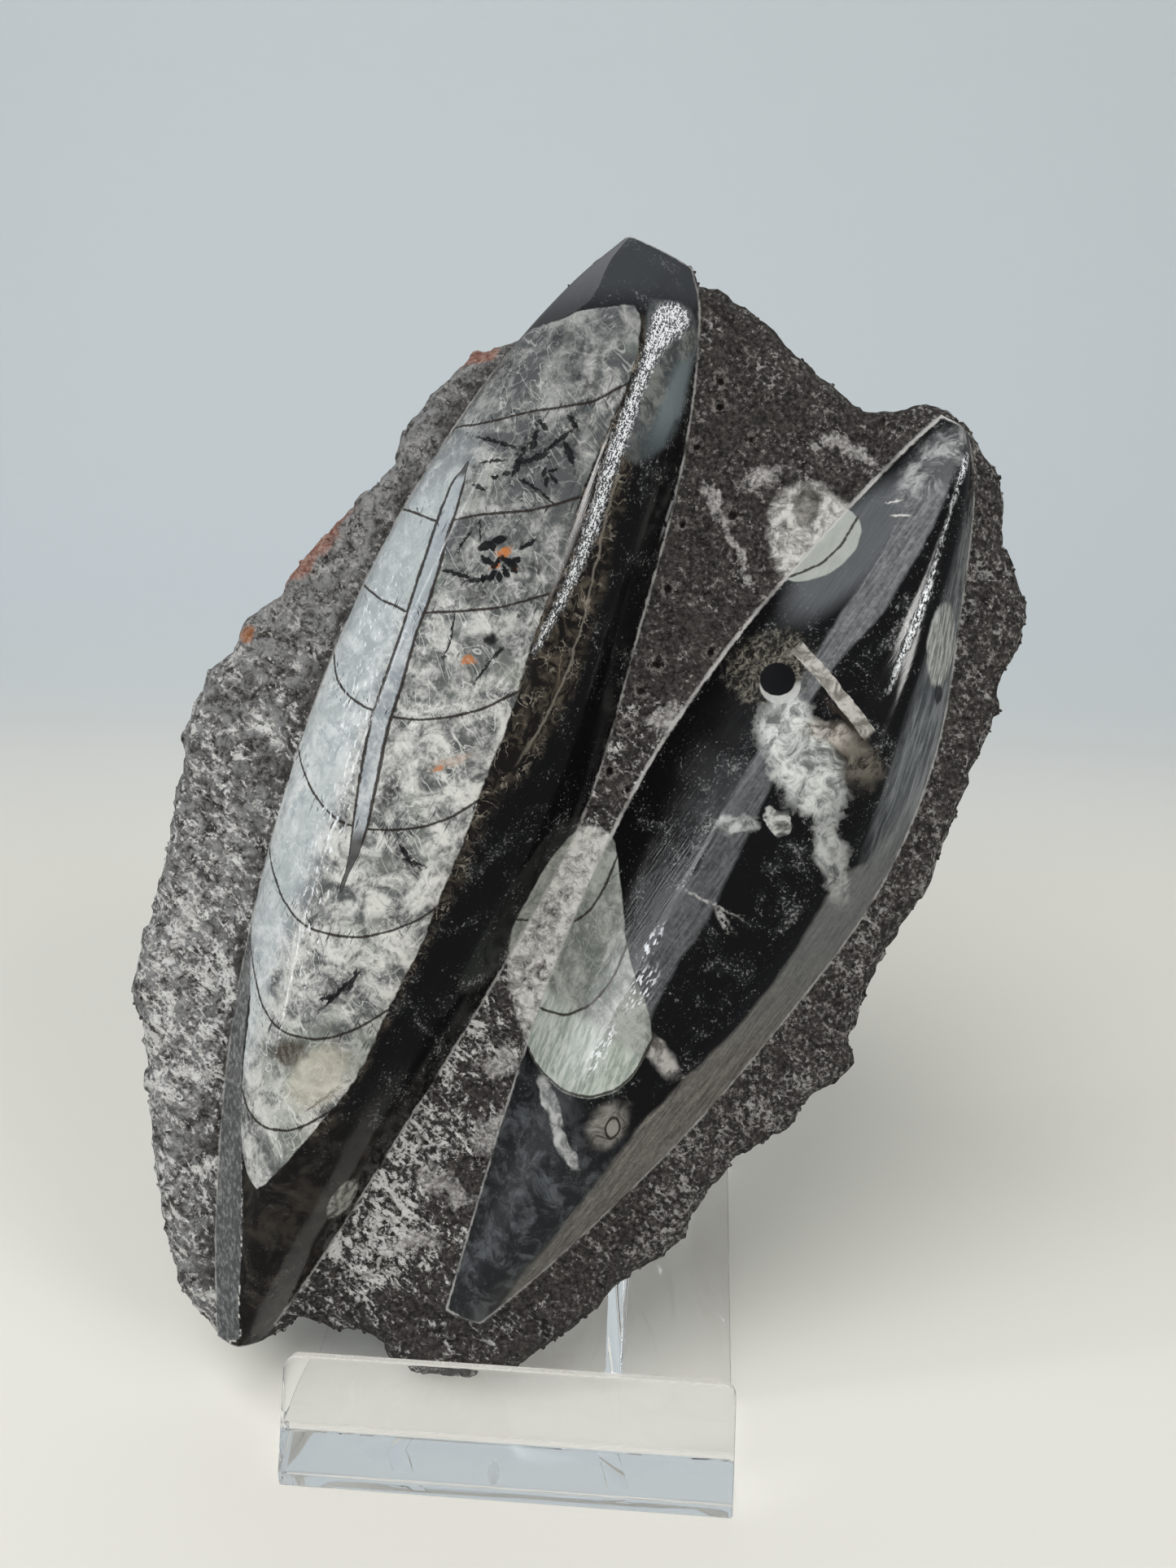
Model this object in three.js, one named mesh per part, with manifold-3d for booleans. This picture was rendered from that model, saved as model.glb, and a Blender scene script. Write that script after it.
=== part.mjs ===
// Polished orthoceras fossil: a rough limestone slab with two polished fossil ridges,
// resting on a clear display easel. Millimetres, +Z up, +X to the viewer's right, +Y to the back.
// The origin is the centre of the easel's underside.

import * as THREE from 'three';
import { mergeVertices } from 'three/addons/utils/BufferGeometryUtils.js';
import Module from 'manifold-3d';

const wasm = await Module();
wasm.setup();

// Easel: a plate with a leaning lip in front and two upright fins behind it.
const PLATE = { width: 76, depth: 88, thick: 2.5, cornerRadius: 2.5 };
const LIP = { lean: 28, length: 19.5, thick: 2.6, wedgeHeight: 8.2, wedgeFoot: 10.2, cornerRadius: 2.2 };
const CORNER_SEGMENTS = 5;
const FIN = { spacing: 33.4, thick: 3, foot: 25.8, height: 92, topLength: 7, rearFoot: 84, topRadius: 2 };

// Slab: its face leans back, and its own frame has u to the right, v up the face and w out of it.
const LEAN = 22;
const SLAB_PLACE = new THREE.Vector3(-10.3, 11.6, 5.75);
const BACK_W = -13.4;
const RIM_W = -3.5;
const RIM_LOWEST_W = -12.2;
const KNOB_RIM_W = -7;
const KNOB_TOP_V = 14;
const RIDGE_ROOT_W = -6.5;
const RIDGE_EDGE_W = 1;
const SLAB_CENTRE = [13, 100];

// The slab's outline as u, v points, clockwise from the tip of the tall ridge.
const OUTLINE = [
  [23.2, 200.8], [28.3, 199], [34.2, 196], [36.6, 194], [39.4, 193.2], [46.7, 188.2], [53.3, 182.6],
  [60, 176.8], [63.3, 174.2], [70.6, 174.2], [73.9, 175], [77.8, 174.2], [81.2, 171], [85.6, 164.4],
  [87.4, 160], [88.1, 152], [90.6, 145.8], [92, 142], [91.5, 137], [88.4, 128], [87.6, 121.5], [83.9, 113.3],
  [81.1, 105], [78.9, 98.5], [75.6, 90.6], [71.7, 84.4], [68.6, 77], [66.4, 70.6], [65.9, 66.7], [66.7, 63.9],
  [63.3, 60], [59.5, 57.8], [55.6, 51.9], [48.9, 47.6], [43.3, 41.1], [40.2, 36], [38, 31], [32.2, 26.7],
  [27.5, 23.5], [23.3, 17.8], [15.5, 11.5], [8.5, 4.6], [4, 2], [0, 0.7], [-4.5, 0.9], [-8.5, 1.4],
  [-11.2, 3.6], [-13.5, 9.6], [-18, 12], [-22.2, 12.4], [-28.3, 13.7], [-31, 11], [-34.4, 9.2], [-38.3, 8.4],
  [-41.9, 8.8], [-46.1, 13.7], [-50.2, 20], [-52.8, 28.3], [-53.9, 34], [-55.6, 43], [-57, 55], [-57.6, 63.5],
  [-59.8, 70], [-58.6, 76.5], [-56, 87], [-54, 96], [-52.6, 105], [-51.4, 112.5], [-51.8, 116], [-48.9, 122],
  [-46.2, 128.4], [-41.8, 132], [-41.6, 135.6], [-34.7, 140.4], [-32.6, 144.6], [-26.2, 152.4], [-20, 158.8],
  [-15.4, 163.8], [-12.8, 171], [-7.2, 177], [-3.6, 181.2], [-2.4, 182.6], [2.8, 183.8], [6, 185.4],
  [9.4, 188.4], [14.2, 194], [18.6, 198.2],
];

// Each ridge: matched pairs of left and right edge points with the crest's height above the edges,
// from the lower tip to the upper one, and its facets as fractions of width and of height.
const TALL_RIDGE = {
  stations: [
    { left: [-41.6, 11.4], right: [-33.4, 11.2], height: 3.5 },
    { left: [-42.3, 30], right: [-24.6, 24.4], height: 8.5 },
    { left: [-40.9, 60], right: [-9.6, 49.8], height: 12.5 },
    { left: [-36, 90], right: [5.8, 76.7], height: 15 },
    { left: [-27.8, 120], right: [19.6, 104.7], height: 16 },
    { left: [-15.5, 150], right: [28, 136], height: 15.5 },
    { left: [1.8, 178], right: [34.8, 167], height: 13 },
    { left: [14.4, 192.8], right: [36.2, 188.6], height: 8.5 },
    { left: [23.4, 200.6], right: [34.8, 195.6], height: 2.5 },
  ],
  facets: [[0, 0], [0.05, 0.26], [0.26, 0.76], [0.48, 1], [0.7, 0.94], [0.78, 0.76], [0.91, 0.36], [1, 0]],
};
const LONG_RIDGE = {
  stations: [
    { left: [-1.4, 18.6], right: [4.6, 16.6], height: 0.6 },
    { left: [2.8, 35], right: [16.6, 27.9], height: 5 },
    { left: [10.6, 63.5], right: [37.3, 49.8], height: 9.5 },
    { left: [18.2, 86.5], right: [52.5, 68.9], height: 12 },
    { left: [30, 113], right: [69, 93.5], height: 13 },
    { left: [43.1, 133.7], right: [77.4, 116.2], height: 12.5 },
    { left: [58, 152.5], right: [80.7, 140.9], height: 10 },
    { left: [70, 166], right: [82, 159.8], height: 7 },
    { left: [76.3, 172.2], right: [80.9, 168.4], height: 2.5 },
  ],
  facets: [[0, 0], [0.4, 0.93], [0.55, 1], [0.78, 0.78], [0.9, 0.4], [1, 0]],
};
const RIDGE_STEPS = 36;

// Rings of the slab from the middle of its back, round the rim, to the middle of its face:
// reach is the part of the way from the centre to the outline.
const SLAB_SIDES = 132;
const FACE_ROUGHNESS = 1.5;
const BACK_ROUGHNESS = 0.7;
const RIM_ROUGHNESS = 0.6;
const RIM_CHIP = 0.008;
const BACK_RINGS = [0.2, 0.4, 0.58, 0.73, 0.85, 0.93, 0.972];
const RIM_RINGS = [
  { reach: 0.988, w: -10.5 }, { reach: 1, w: -6.8 }, { reach: 1, w: RIM_W }, { reach: 0.99, w: -1.6 },
];
const FACE_RINGS = [0.97, 0.93, 0.87, 0.8, 0.72, 0.63, 0.53, 0.42, 0.29, 0.15];

// Broken stone: broad lumps with smaller chips on them. Sizes are in millimetres.
const GRAIN = [{ size: 11, share: 0.65 }, { size: 4.2, share: 0.35 }];
const CHIP_SIZE = 4;
const HASH = { x: 374761393, y: 668265263, z: 268435399, mix: 1274126177 };

// Whole-number hash of a lattice point, as a value from 0 to 1.
function lattice(i, j, k) {
  let h = Math.imul(i, HASH.x) ^ Math.imul(j, HASH.y) ^ Math.imul(k, HASH.z);
  h = Math.imul(h ^ (h >>> 13), HASH.mix);
  return ((h ^ (h >>> 16)) >>> 0) / 0xffffffff;
}

// Smooth noise from -1 to 1 that changes over about one unit.
function noise(x, y, z) {
  const cell = [Math.floor(x), Math.floor(y), Math.floor(z)];
  const ease = (t) => t * t * (3 - 2 * t);
  const blend = [ease(x - cell[0]), ease(y - cell[1]), ease(z - cell[2])];
  let sum = 0;
  for (let corner = 0; corner < 8; corner += 1) {
    const step = [corner & 1, (corner >> 1) & 1, corner >> 2];
    const weight = step.reduce((part, s, axis) => part * (s ? blend[axis] : 1 - blend[axis]), 1);
    sum += weight * lattice(cell[0] + step[0], cell[1] + step[1], cell[2] + step[2]);
  }
  return 2 * sum - 1;
}

// Height of the broken surface at a point, within about the amount given.
function roughness(u, v, w, amount) {
  return GRAIN.reduce(
    (sum, { size, share }) => sum + amount * share * noise(u / size, v / size, w / size), 0);
}

// A closed solid from points and triangles.
function solidOf(points, triangles) {
  return new wasm.Manifold(new wasm.Mesh({
    numProp: 3,
    vertProperties: new Float32Array(points.flat()),
    triVerts: new Uint32Array(triangles.flat()),
  }));
}

// A closed solid from a three.js geometry.
function solidFrom(geometry) {
  const bare = geometry.clone();
  bare.deleteAttribute('normal');
  bare.deleteAttribute('uv');
  const merged = mergeVertices(bare, 1e-4);
  return new wasm.Manifold(new wasm.Mesh({
    numProp: 3,
    vertProperties: new Float32Array(merged.attributes.position.array),
    triVerts: new Uint32Array(merged.index.array),
  }));
}

// A three.js geometry from a closed solid.
function geometryOf(solid) {
  const { vertProperties, triVerts } = solid.getMesh();
  const geometry = new THREE.BufferGeometry();
  geometry.setAttribute('position', new THREE.BufferAttribute(new Float32Array(vertProperties), 3));
  geometry.setIndex(new THREE.BufferAttribute(new Uint32Array(triVerts), 1));
  geometry.computeVertexNormals();
  return geometry;
}

// Triangles of a stack of rings of equal length, with a centre point at each end.
// The first ring is the lower one, and each ring runs anticlockwise seen from the last.
function ringTriangles(ringCount, sides, firstCentre, lastCentre) {
  const at = (ring, side) => ring * sides + (side % sides);
  const triangles = [];
  for (let side = 0; side < sides; side += 1) {
    triangles.push([firstCentre, at(0, side + 1), at(0, side)]);
    triangles.push([lastCentre, at(ringCount - 1, side), at(ringCount - 1, side + 1)]);
    for (let ring = 0; ring < ringCount - 1; ring += 1) {
      triangles.push([at(ring, side), at(ring, side + 1), at(ring + 1, side + 1)]);
      triangles.push([at(ring, side), at(ring + 1, side + 1), at(ring + 1, side)]);
    }
  }
  return triangles;
}

// How far the rim's widest line sinks towards the back: only under the knob that carries the slab.
function rimSink(v) {
  const t = THREE.MathUtils.clamp(1 - v / KNOB_TOP_V, 0, 1);
  return (KNOB_RIM_W - RIM_W) * THREE.MathUtils.smoothstep(t, 0, 0.6);
}

// The rough slab without its ridges.
function roughSlab() {
  const loop = new THREE.CatmullRomCurve3(
    OUTLINE.map(([u, v]) => new THREE.Vector3(u, v, 0)).reverse(), true, 'centripetal');
  const rim = loop.getSpacedPoints(SLAB_SIDES).slice(0, SLAB_SIDES);
  const point = (edge, reach, w, amount) => {
    const u = SLAB_CENTRE[0] + (edge.x - SLAB_CENTRE[0]) * reach;
    const v = SLAB_CENTRE[1] + (edge.y - SLAB_CENTRE[1]) * reach;
    return [u, v, w + roughness(u, v, w, amount)];
  };
  const rings = [];
  BACK_RINGS.forEach((reach) => rings.push(rim.map((edge) => point(edge, reach, BACK_W, BACK_ROUGHNESS))));
  RIM_RINGS.forEach(({ reach, w }) => rings.push(rim.map((edge) => {
    const chip = w > RIM_W ? 0 : RIM_CHIP * noise(edge.x / CHIP_SIZE, edge.y / CHIP_SIZE, w / CHIP_SIZE);
    return point(edge, reach + chip, Math.max(w + rimSink(edge.y), RIM_LOWEST_W), RIM_ROUGHNESS);
  })));
  FACE_RINGS.forEach((reach) => rings.push(rim.map((edge) => point(edge, reach, 0, FACE_ROUGHNESS))));
  const points = rings.flat();
  points.push([...SLAB_CENTRE, BACK_W], [...SLAB_CENTRE, 0]);
  const count = rings.length;
  return solidOf(points, ringTriangles(count, SLAB_SIDES, points.length - 2, points.length - 1));
}

// One polished ridge, with its root sunk into the slab.
function ridge({ stations, facets }) {
  const curve = (side) => new THREE.CatmullRomCurve3(
    stations.map((station) => new THREE.Vector3(...station[side], station.height)), false, 'centripetal');
  const left = curve('left');
  const right = curve('right');
  const section = [[0, null], ...facets, [1, null]];
  const rings = [];
  for (let step = 0; step <= RIDGE_STEPS; step += 1) {
    const a = left.getPoint(step / RIDGE_STEPS);
    const b = right.getPoint(step / RIDGE_STEPS);
    rings.push(section.map(([across, rise]) => {
      const p = a.clone().lerp(b, across);
      return [p.x, p.y, rise === null ? RIDGE_ROOT_W : RIDGE_EDGE_W + rise * p.z];
    }));
  }
  const centreOf = (ring) => [0, 1, 2].map((axis) => ring.reduce((sum, p) => sum + p[axis], 0) / ring.length);
  const points = rings.flat();
  points.push(centreOf(rings[0]), centreOf(rings[RIDGE_STEPS]));
  return solidOf(points, ringTriangles(rings.length, section.length, points.length - 2, points.length - 1));
}

function fossilSlab() {
  const stone = roughSlab().add(ridge(TALL_RIDGE)).add(ridge(LONG_RIDGE));
  const material = new THREE.MeshStandardMaterial({ color: 0x3a3a3c, roughness: 0.55, metalness: 0 });
  const mesh = new THREE.Mesh(geometryOf(stone), material);
  mesh.name = 'fossil_slab';
  mesh.position.copy(SLAB_PLACE);
  mesh.rotation.x = THREE.MathUtils.degToRad(90 - LEAN);
  return mesh;
}

// A rectangle with rounded corners, centred in X, from bottom to bottom + height in Y.
function roundedRectangle(width, bottom, height, radius) {
  const shape = new THREE.Shape();
  const half = width / 2;
  const top = bottom + height;
  shape.moveTo(-half + radius, bottom);
  shape.lineTo(half - radius, bottom);
  shape.absarc(half - radius, bottom + radius, radius, -Math.PI / 2, 0);
  shape.lineTo(half, top - radius);
  shape.absarc(half - radius, top - radius, radius, 0, Math.PI / 2);
  shape.lineTo(-half + radius, top);
  shape.absarc(-half + radius, top - radius, radius, Math.PI / 2, Math.PI);
  shape.lineTo(-half, bottom + radius);
  shape.absarc(-half + radius, bottom + radius, radius, Math.PI, 1.5 * Math.PI);
  return shape;
}

// A solid cut from a sheet lying across X: the outline's points are y, z.
function acrossX(points, thick, middle) {
  const shape = new THREE.Shape(points.map((p) => new THREE.Vector2(...p)));
  const geometry = new THREE.ExtrudeGeometry(shape, { depth: thick, bevelEnabled: false });
  geometry.translate(0, 0, -thick / 2);
  geometry.applyMatrix4(new THREE.Matrix4().set(0, 0, 1, middle, 1, 0, 0, 0, 0, 1, 0, 0, 0, 0, 0, 1));
  return solidFrom(geometry);
}

function plate() {
  const shape = roundedRectangle(PLATE.width, 0, PLATE.depth, PLATE.cornerRadius);
  return solidFrom(new THREE.ExtrudeGeometry(
    shape, { depth: PLATE.thick, bevelEnabled: false, curveSegments: CORNER_SEGMENTS }));
}

// The lip leans back over a solid wedge, and its top corners are rounded.
function lip() {
  const lean = THREE.MathUtils.degToRad(LIP.lean);
  const along = [Math.sin(lean), Math.cos(lean)];
  const top = [LIP.length * along[0], PLATE.thick + LIP.length * along[1]];
  const topBack = [top[0] + LIP.thick * along[1], top[1] - LIP.thick * along[0]];
  const down = (topBack[1] - LIP.wedgeHeight) / along[1];
  const wedgeTop = [topBack[0] - down * along[0], LIP.wedgeHeight];
  const profile = [
    [0, 0], [LIP.wedgeFoot, 0], [LIP.wedgeFoot, PLATE.thick], wedgeTop, topBack, top, [0, PLATE.thick],
  ];
  const body = acrossX(profile, PLATE.width, 0);
  const front = new THREE.ExtrudeGeometry(
    roundedRectangle(PLATE.width, -PLATE.depth, PLATE.depth + LIP.length, LIP.cornerRadius),
    { depth: PLATE.depth, bevelEnabled: false, curveSegments: CORNER_SEGMENTS });
  front.translate(0, 0, -PLATE.depth / 2);
  front.rotateX(Math.PI / 2 - lean);
  front.translate(0, 0, PLATE.thick);
  return body.intersect(solidFrom(front));
}

// A fin's front edge lies along the slab's back.
function fin(middle) {
  const slope = Math.tan(THREE.MathUtils.degToRad(LEAN));
  const topFront = FIN.foot + (FIN.height - PLATE.thick) * slope;
  const profile = [
    [FIN.foot, PLATE.thick], [FIN.foot, 0], [FIN.rearFoot, 0], [FIN.rearFoot, PLATE.thick],
    [topFront + FIN.topLength, FIN.height - FIN.topRadius],
    [topFront + FIN.topLength - FIN.topRadius, FIN.height],
    [topFront + FIN.topRadius / 2, FIN.height],
    [topFront - slope * FIN.topRadius, FIN.height - FIN.topRadius],
  ];
  return acrossX(profile, FIN.thick, middle);
}

function easelStand() {
  const easel = plate().add(lip()).add(fin(-FIN.spacing / 2)).add(fin(FIN.spacing / 2));
  const material = new THREE.MeshStandardMaterial({
    color: 0xe8eef2, roughness: 0.05, metalness: 0, transparent: true, opacity: 0.35 });
  const mesh = new THREE.Mesh(geometryOf(easel), material);
  mesh.name = 'easel_stand';
  return mesh;
}

const group = new THREE.Group();
group.add(fossilSlab(), easelStand());
group.children.forEach((mesh) => {
  mesh.position.y -= PLATE.depth / 2;
});

export default group;
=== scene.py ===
"""Polished orthoceras fossil on a clear display easel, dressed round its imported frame.

Row frame: metres, +Z up, origin at the centre of the easel's underside. The slab is modelled in its
own frame, in millimetres: u to the right, v up the face and w out of it.
"""

from __future__ import annotations

import logging
import math
from dataclasses import dataclass
from enum import Enum
from itertools import product

import bmesh
import bpy
import numpy as np
from mathutils import Euler, Matrix, Vector
from mathutils.geometry import delaunay_2d_cdt

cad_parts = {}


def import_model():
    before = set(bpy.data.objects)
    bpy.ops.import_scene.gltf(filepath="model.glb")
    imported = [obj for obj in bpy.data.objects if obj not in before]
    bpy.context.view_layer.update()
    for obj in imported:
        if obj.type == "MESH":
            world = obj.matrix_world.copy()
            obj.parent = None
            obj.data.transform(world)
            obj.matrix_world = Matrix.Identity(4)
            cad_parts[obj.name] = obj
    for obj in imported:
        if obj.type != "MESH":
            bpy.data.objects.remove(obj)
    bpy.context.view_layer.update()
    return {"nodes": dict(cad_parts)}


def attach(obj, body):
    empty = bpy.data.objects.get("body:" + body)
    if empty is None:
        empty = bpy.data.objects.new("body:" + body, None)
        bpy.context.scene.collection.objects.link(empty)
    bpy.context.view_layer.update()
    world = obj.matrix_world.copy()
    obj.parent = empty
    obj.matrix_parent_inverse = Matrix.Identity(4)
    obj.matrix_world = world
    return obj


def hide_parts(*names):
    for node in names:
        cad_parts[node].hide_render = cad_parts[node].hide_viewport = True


log = logging.getLogger("fossil")

Socket = bpy.types.NodeSocket
Colour = tuple[float, float, float]

MM = 0.001
BODY = "root"
PHOTO_HEIGHT = 1927


class Slot(Enum):
    """The record's material slots."""

    STONE = "fossil_stone"
    ACRYLIC = "clear_acrylic"


class Region(Enum):
    """The parts of the stone's surface, by the order of their materials."""

    TALL = 0
    LONG = 1
    ROUGH = 2


@dataclass(frozen=True)
class SlabFrame:
    """Where the slab's own frame lies in the row frame."""

    lean: float = 22.0
    place: tuple[float, float, float] = (-10.3, -32.4, 5.75)

    @property
    def turn(self) -> Matrix:
        """The turn from the slab's axes to the row's."""
        return Matrix.Rotation(math.radians(90.0 - self.lean), 3, "X")

    def to_row(self, points: np.ndarray) -> np.ndarray:
        """Carry slab points, one row each in millimetres, to the row frame in metres."""
        return (points @ np.array(self.turn).T + np.array(self.place)) * MM


SLAB = SlabFrame()


@dataclass(frozen=True)
class Spline:
    """A smooth curve through given points."""

    points: tuple
    closed: bool = False

    def at(self, share: np.ndarray) -> np.ndarray:
        """Points on the curve.

        Args:
            share: the way along it from 0 to 1, even from point to point.

        Returns:
            One row for each share.
        """
        knots = np.array(self.points, float)
        count = len(knots)
        if self.closed:
            ring = np.vstack([knots[-1:], knots, knots[:2]])
            spans = count
        else:
            ring = np.vstack([2 * knots[0] - knots[1], knots, 2 * knots[-1] - knots[-2]])
            spans = count - 1
        place = np.clip(np.asarray(share, float), 0, 1) * spans
        index = np.minimum(place.astype(int), spans - 1)
        part = (place - index)[:, None]
        p0, p1, p2, p3 = (ring[index + k] for k in range(4))
        d0, d1, d2 = (
            np.sqrt(np.maximum(np.linalg.norm(b - a, axis=1), 1e-6))[:, None]
            for a, b in ((p0, p1), (p1, p2), (p2, p3))
        )
        slope1 = ((p1 - p0) / d0 - (p2 - p0) / (d0 + d1) + (p2 - p1) / d1) * d1
        slope2 = ((p2 - p1) / d1 - (p3 - p1) / (d1 + d2) + (p3 - p2) / d2) * d1
        square = -3 * p1 + 3 * p2 - 2 * slope1 - slope2
        cube = 2 * p1 - 2 * p2 + slope1 + slope2
        return p1 + slope1 * part + square * part**2 + cube * part**3

    def spaced(self, count: int) -> np.ndarray:
        """Evenly spaced points, without the last one twice on a closed curve."""
        fine = np.linspace(0, 1, 6000)
        trail = self.at(fine)
        run = np.concatenate([[0], np.cumsum(np.linalg.norm(np.diff(trail, axis=0), axis=1))])
        goals = np.linspace(0, run[-1], count, endpoint=not self.closed)
        return self.at(np.interp(goals, run, fine))


@dataclass(frozen=True)
class StoneNoise:
    """Repeatable smooth noise for broken stone."""

    seed: int = 11

    FACTORS = (374761393, 668265263, 268435399)
    MIX = 1274126177
    SPREAD = 2654435761

    def lattice(self, cells: np.ndarray, channel: int = 0) -> np.ndarray:
        """Values from 0 to 1 for whole-number cells, one row each."""
        whole = cells.astype(np.int64).astype(np.uint32)
        mixed = np.full(whole.shape[:-1], (self.seed + channel * 101) * self.SPREAD % 2**32, np.uint32)
        for axis, factor in enumerate(self.FACTORS):
            mixed = mixed ^ (whole[..., axis] * np.uint32(factor))
            mixed = (mixed ^ (mixed >> np.uint32(15))) * np.uint32(self.MIX)
        return (mixed ^ (mixed >> np.uint32(16))) / float(2**32)

    def smooth(self, points: np.ndarray, size: float) -> np.ndarray:
        """Smooth noise from -1 to 1.

        Args:
            points: one row each, in millimetres.
            size: the millimetres over which it changes.

        Returns:
            One value for each point.
        """
        place = points / size
        cell = np.floor(place)
        part = place - cell
        part = part * part * (3 - 2 * part)
        total = np.zeros(len(points))
        for corner in product((0, 1), repeat=3):
            weight = np.prod(np.where(corner, part, 1 - part), axis=-1)
            total += weight * self.lattice(cell + corner)
        return 2 * total - 1

    def fractal(self, points: np.ndarray, size: float, octaves: int, gain: float = 0.5) -> np.ndarray:
        """Several sizes of smooth noise on top of each other.

        Args:
            points: one row each, in millimetres.
            size: the largest size, which halves at each octave.
            octaves: how many sizes there are.
            gain: the strength of each against the one before.

        Returns:
            One value for each point, about from -1 to 1.
        """
        layers = range(octaves)
        total = sum(gain**k * self.smooth(points + 17.3 * k, size / 2**k) for k in layers)
        return total / sum(gain**k for k in layers)

    def chips(self, points: np.ndarray, size: float) -> np.ndarray:
        """Flat chips with tilted faces, as hammered stone breaks.

        Args:
            points: one row each, in millimetres.
            size: the chips' width.

        Returns:
            One height for each point, about from -1 to 1.
        """
        place = points / size
        cell = np.floor(place)
        nearest = np.full(len(points), np.inf)
        owner, offset = cell.copy(), np.zeros_like(cell)
        for step in product((-1, 0, 1), repeat=3):
            near = cell + step
            away = place - near - np.stack([self.lattice(near, k) for k in (1, 2, 3)], axis=-1)
            gap = np.einsum("ij,ij->i", away, away)
            closer = gap < nearest
            nearest[closer] = gap[closer]
            owner[closer] = near[closer]
            offset[closer] = away[closer]
        tilt = np.stack([self.lattice(owner, k) - 0.5 for k in (4, 5, 6)], axis=-1)
        return 0.6 * (2 * self.lattice(owner, 7) - 1 + 2.2 * np.einsum("ij,ij->i", tilt, offset))


def new_object(name: str, data: bpy.types.ID) -> bpy.types.Object:
    """Make an object and link it to the scene."""
    made = bpy.data.objects.new(name, data)
    bpy.context.scene.collection.objects.link(made)
    return made


def smoothstep(value: np.ndarray, low: float, high: float) -> np.ndarray:
    """A soft step from 0 at low to 1 at high."""
    part = np.clip((value - low) / (high - low), 0, 1)
    return part * part * (3 - 2 * part)


def gap_to(points: np.ndarray, line: np.ndarray, closed: bool = True) -> np.ndarray:
    """Distance from points to a line.

    Args:
        points: u, v rows.
        line: the line's points in order.
        closed: whether its end joins its start.

    Returns:
        One distance for each point.
    """
    start = line if closed else line[:-1]
    step = (np.roll(line, -1, axis=0) - line)[: len(start)]
    length2 = np.maximum((step**2).sum(axis=1), 1e-12)
    result = np.empty(len(points))
    for low in range(0, len(points), 4000):
        away = points[low : low + 4000, None, :] - start[None]
        part = np.clip((away * step).sum(axis=2) / length2, 0, 1)
        rest = away - part[..., None] * step
        result[low : low + 4000] = np.sqrt((rest**2).sum(axis=2).min(axis=1))
    return result


def eased(line: np.ndarray, reach: int) -> np.ndarray:
    """A closed line with each point moved to the mean of those within reach of it."""
    return np.mean([np.roll(line, k, axis=0) for k in range(-reach, reach + 1)], axis=0)


def within(points: np.ndarray, loop: np.ndarray) -> np.ndarray:
    """True for each u, v point inside a closed loop."""
    ahead = np.roll(loop, -1, axis=0)
    u, v = points[:, 0], points[:, 1]
    inside = np.zeros(len(points), bool)
    for (u0, v0), (u1, v1) in zip(loop, ahead):
        if v0 != v1:
            inside ^= ((v0 > v) != (v1 > v)) & (u < (u1 - u0) * (v - v0) / (v1 - v0) + u0)
    return inside


def depth_in(points: np.ndarray, loop: np.ndarray) -> np.ndarray:
    """Distance to a closed loop, above zero inside it and below zero outside."""
    return np.where(within(points, loop), 1, -1) * gap_to(points, loop)


def hexagon_points(low: np.ndarray, high: np.ndarray, spacing: float, seed: int) -> np.ndarray:
    """Points of a slightly jittered hexagonal net.

    Args:
        low: the net's lowest u, v.
        high: its highest.
        spacing: the distance from point to point.
        seed: the jitter's seed.

    Returns:
        u, v rows.
    """
    rows = int((high[1] - low[1]) / (spacing * math.sqrt(0.75))) + 1
    columns = int((high[0] - low[0]) / spacing) + 1
    row, column = np.mgrid[0:rows, 0:columns]
    u = low[0] + (column + 0.5 * (row % 2)) * spacing
    v = low[1] + row * spacing * math.sqrt(0.75)
    jitter = np.random.default_rng(seed).uniform(-0.16, 0.16, (rows * columns, 2)) * spacing
    return np.stack([u.ravel(), v.ravel()], axis=1) + jitter


@dataclass(frozen=True)
class Station:
    """One cross line of a ridge: its edge points and the crest's height above them."""

    left: tuple[float, float]
    right: tuple[float, float]
    height: float


@dataclass(frozen=True)
class Crease:
    """A line along a ridge where two facets meet, with one value for each station."""

    across: tuple[float, ...]
    rise: tuple[float, ...]


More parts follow.
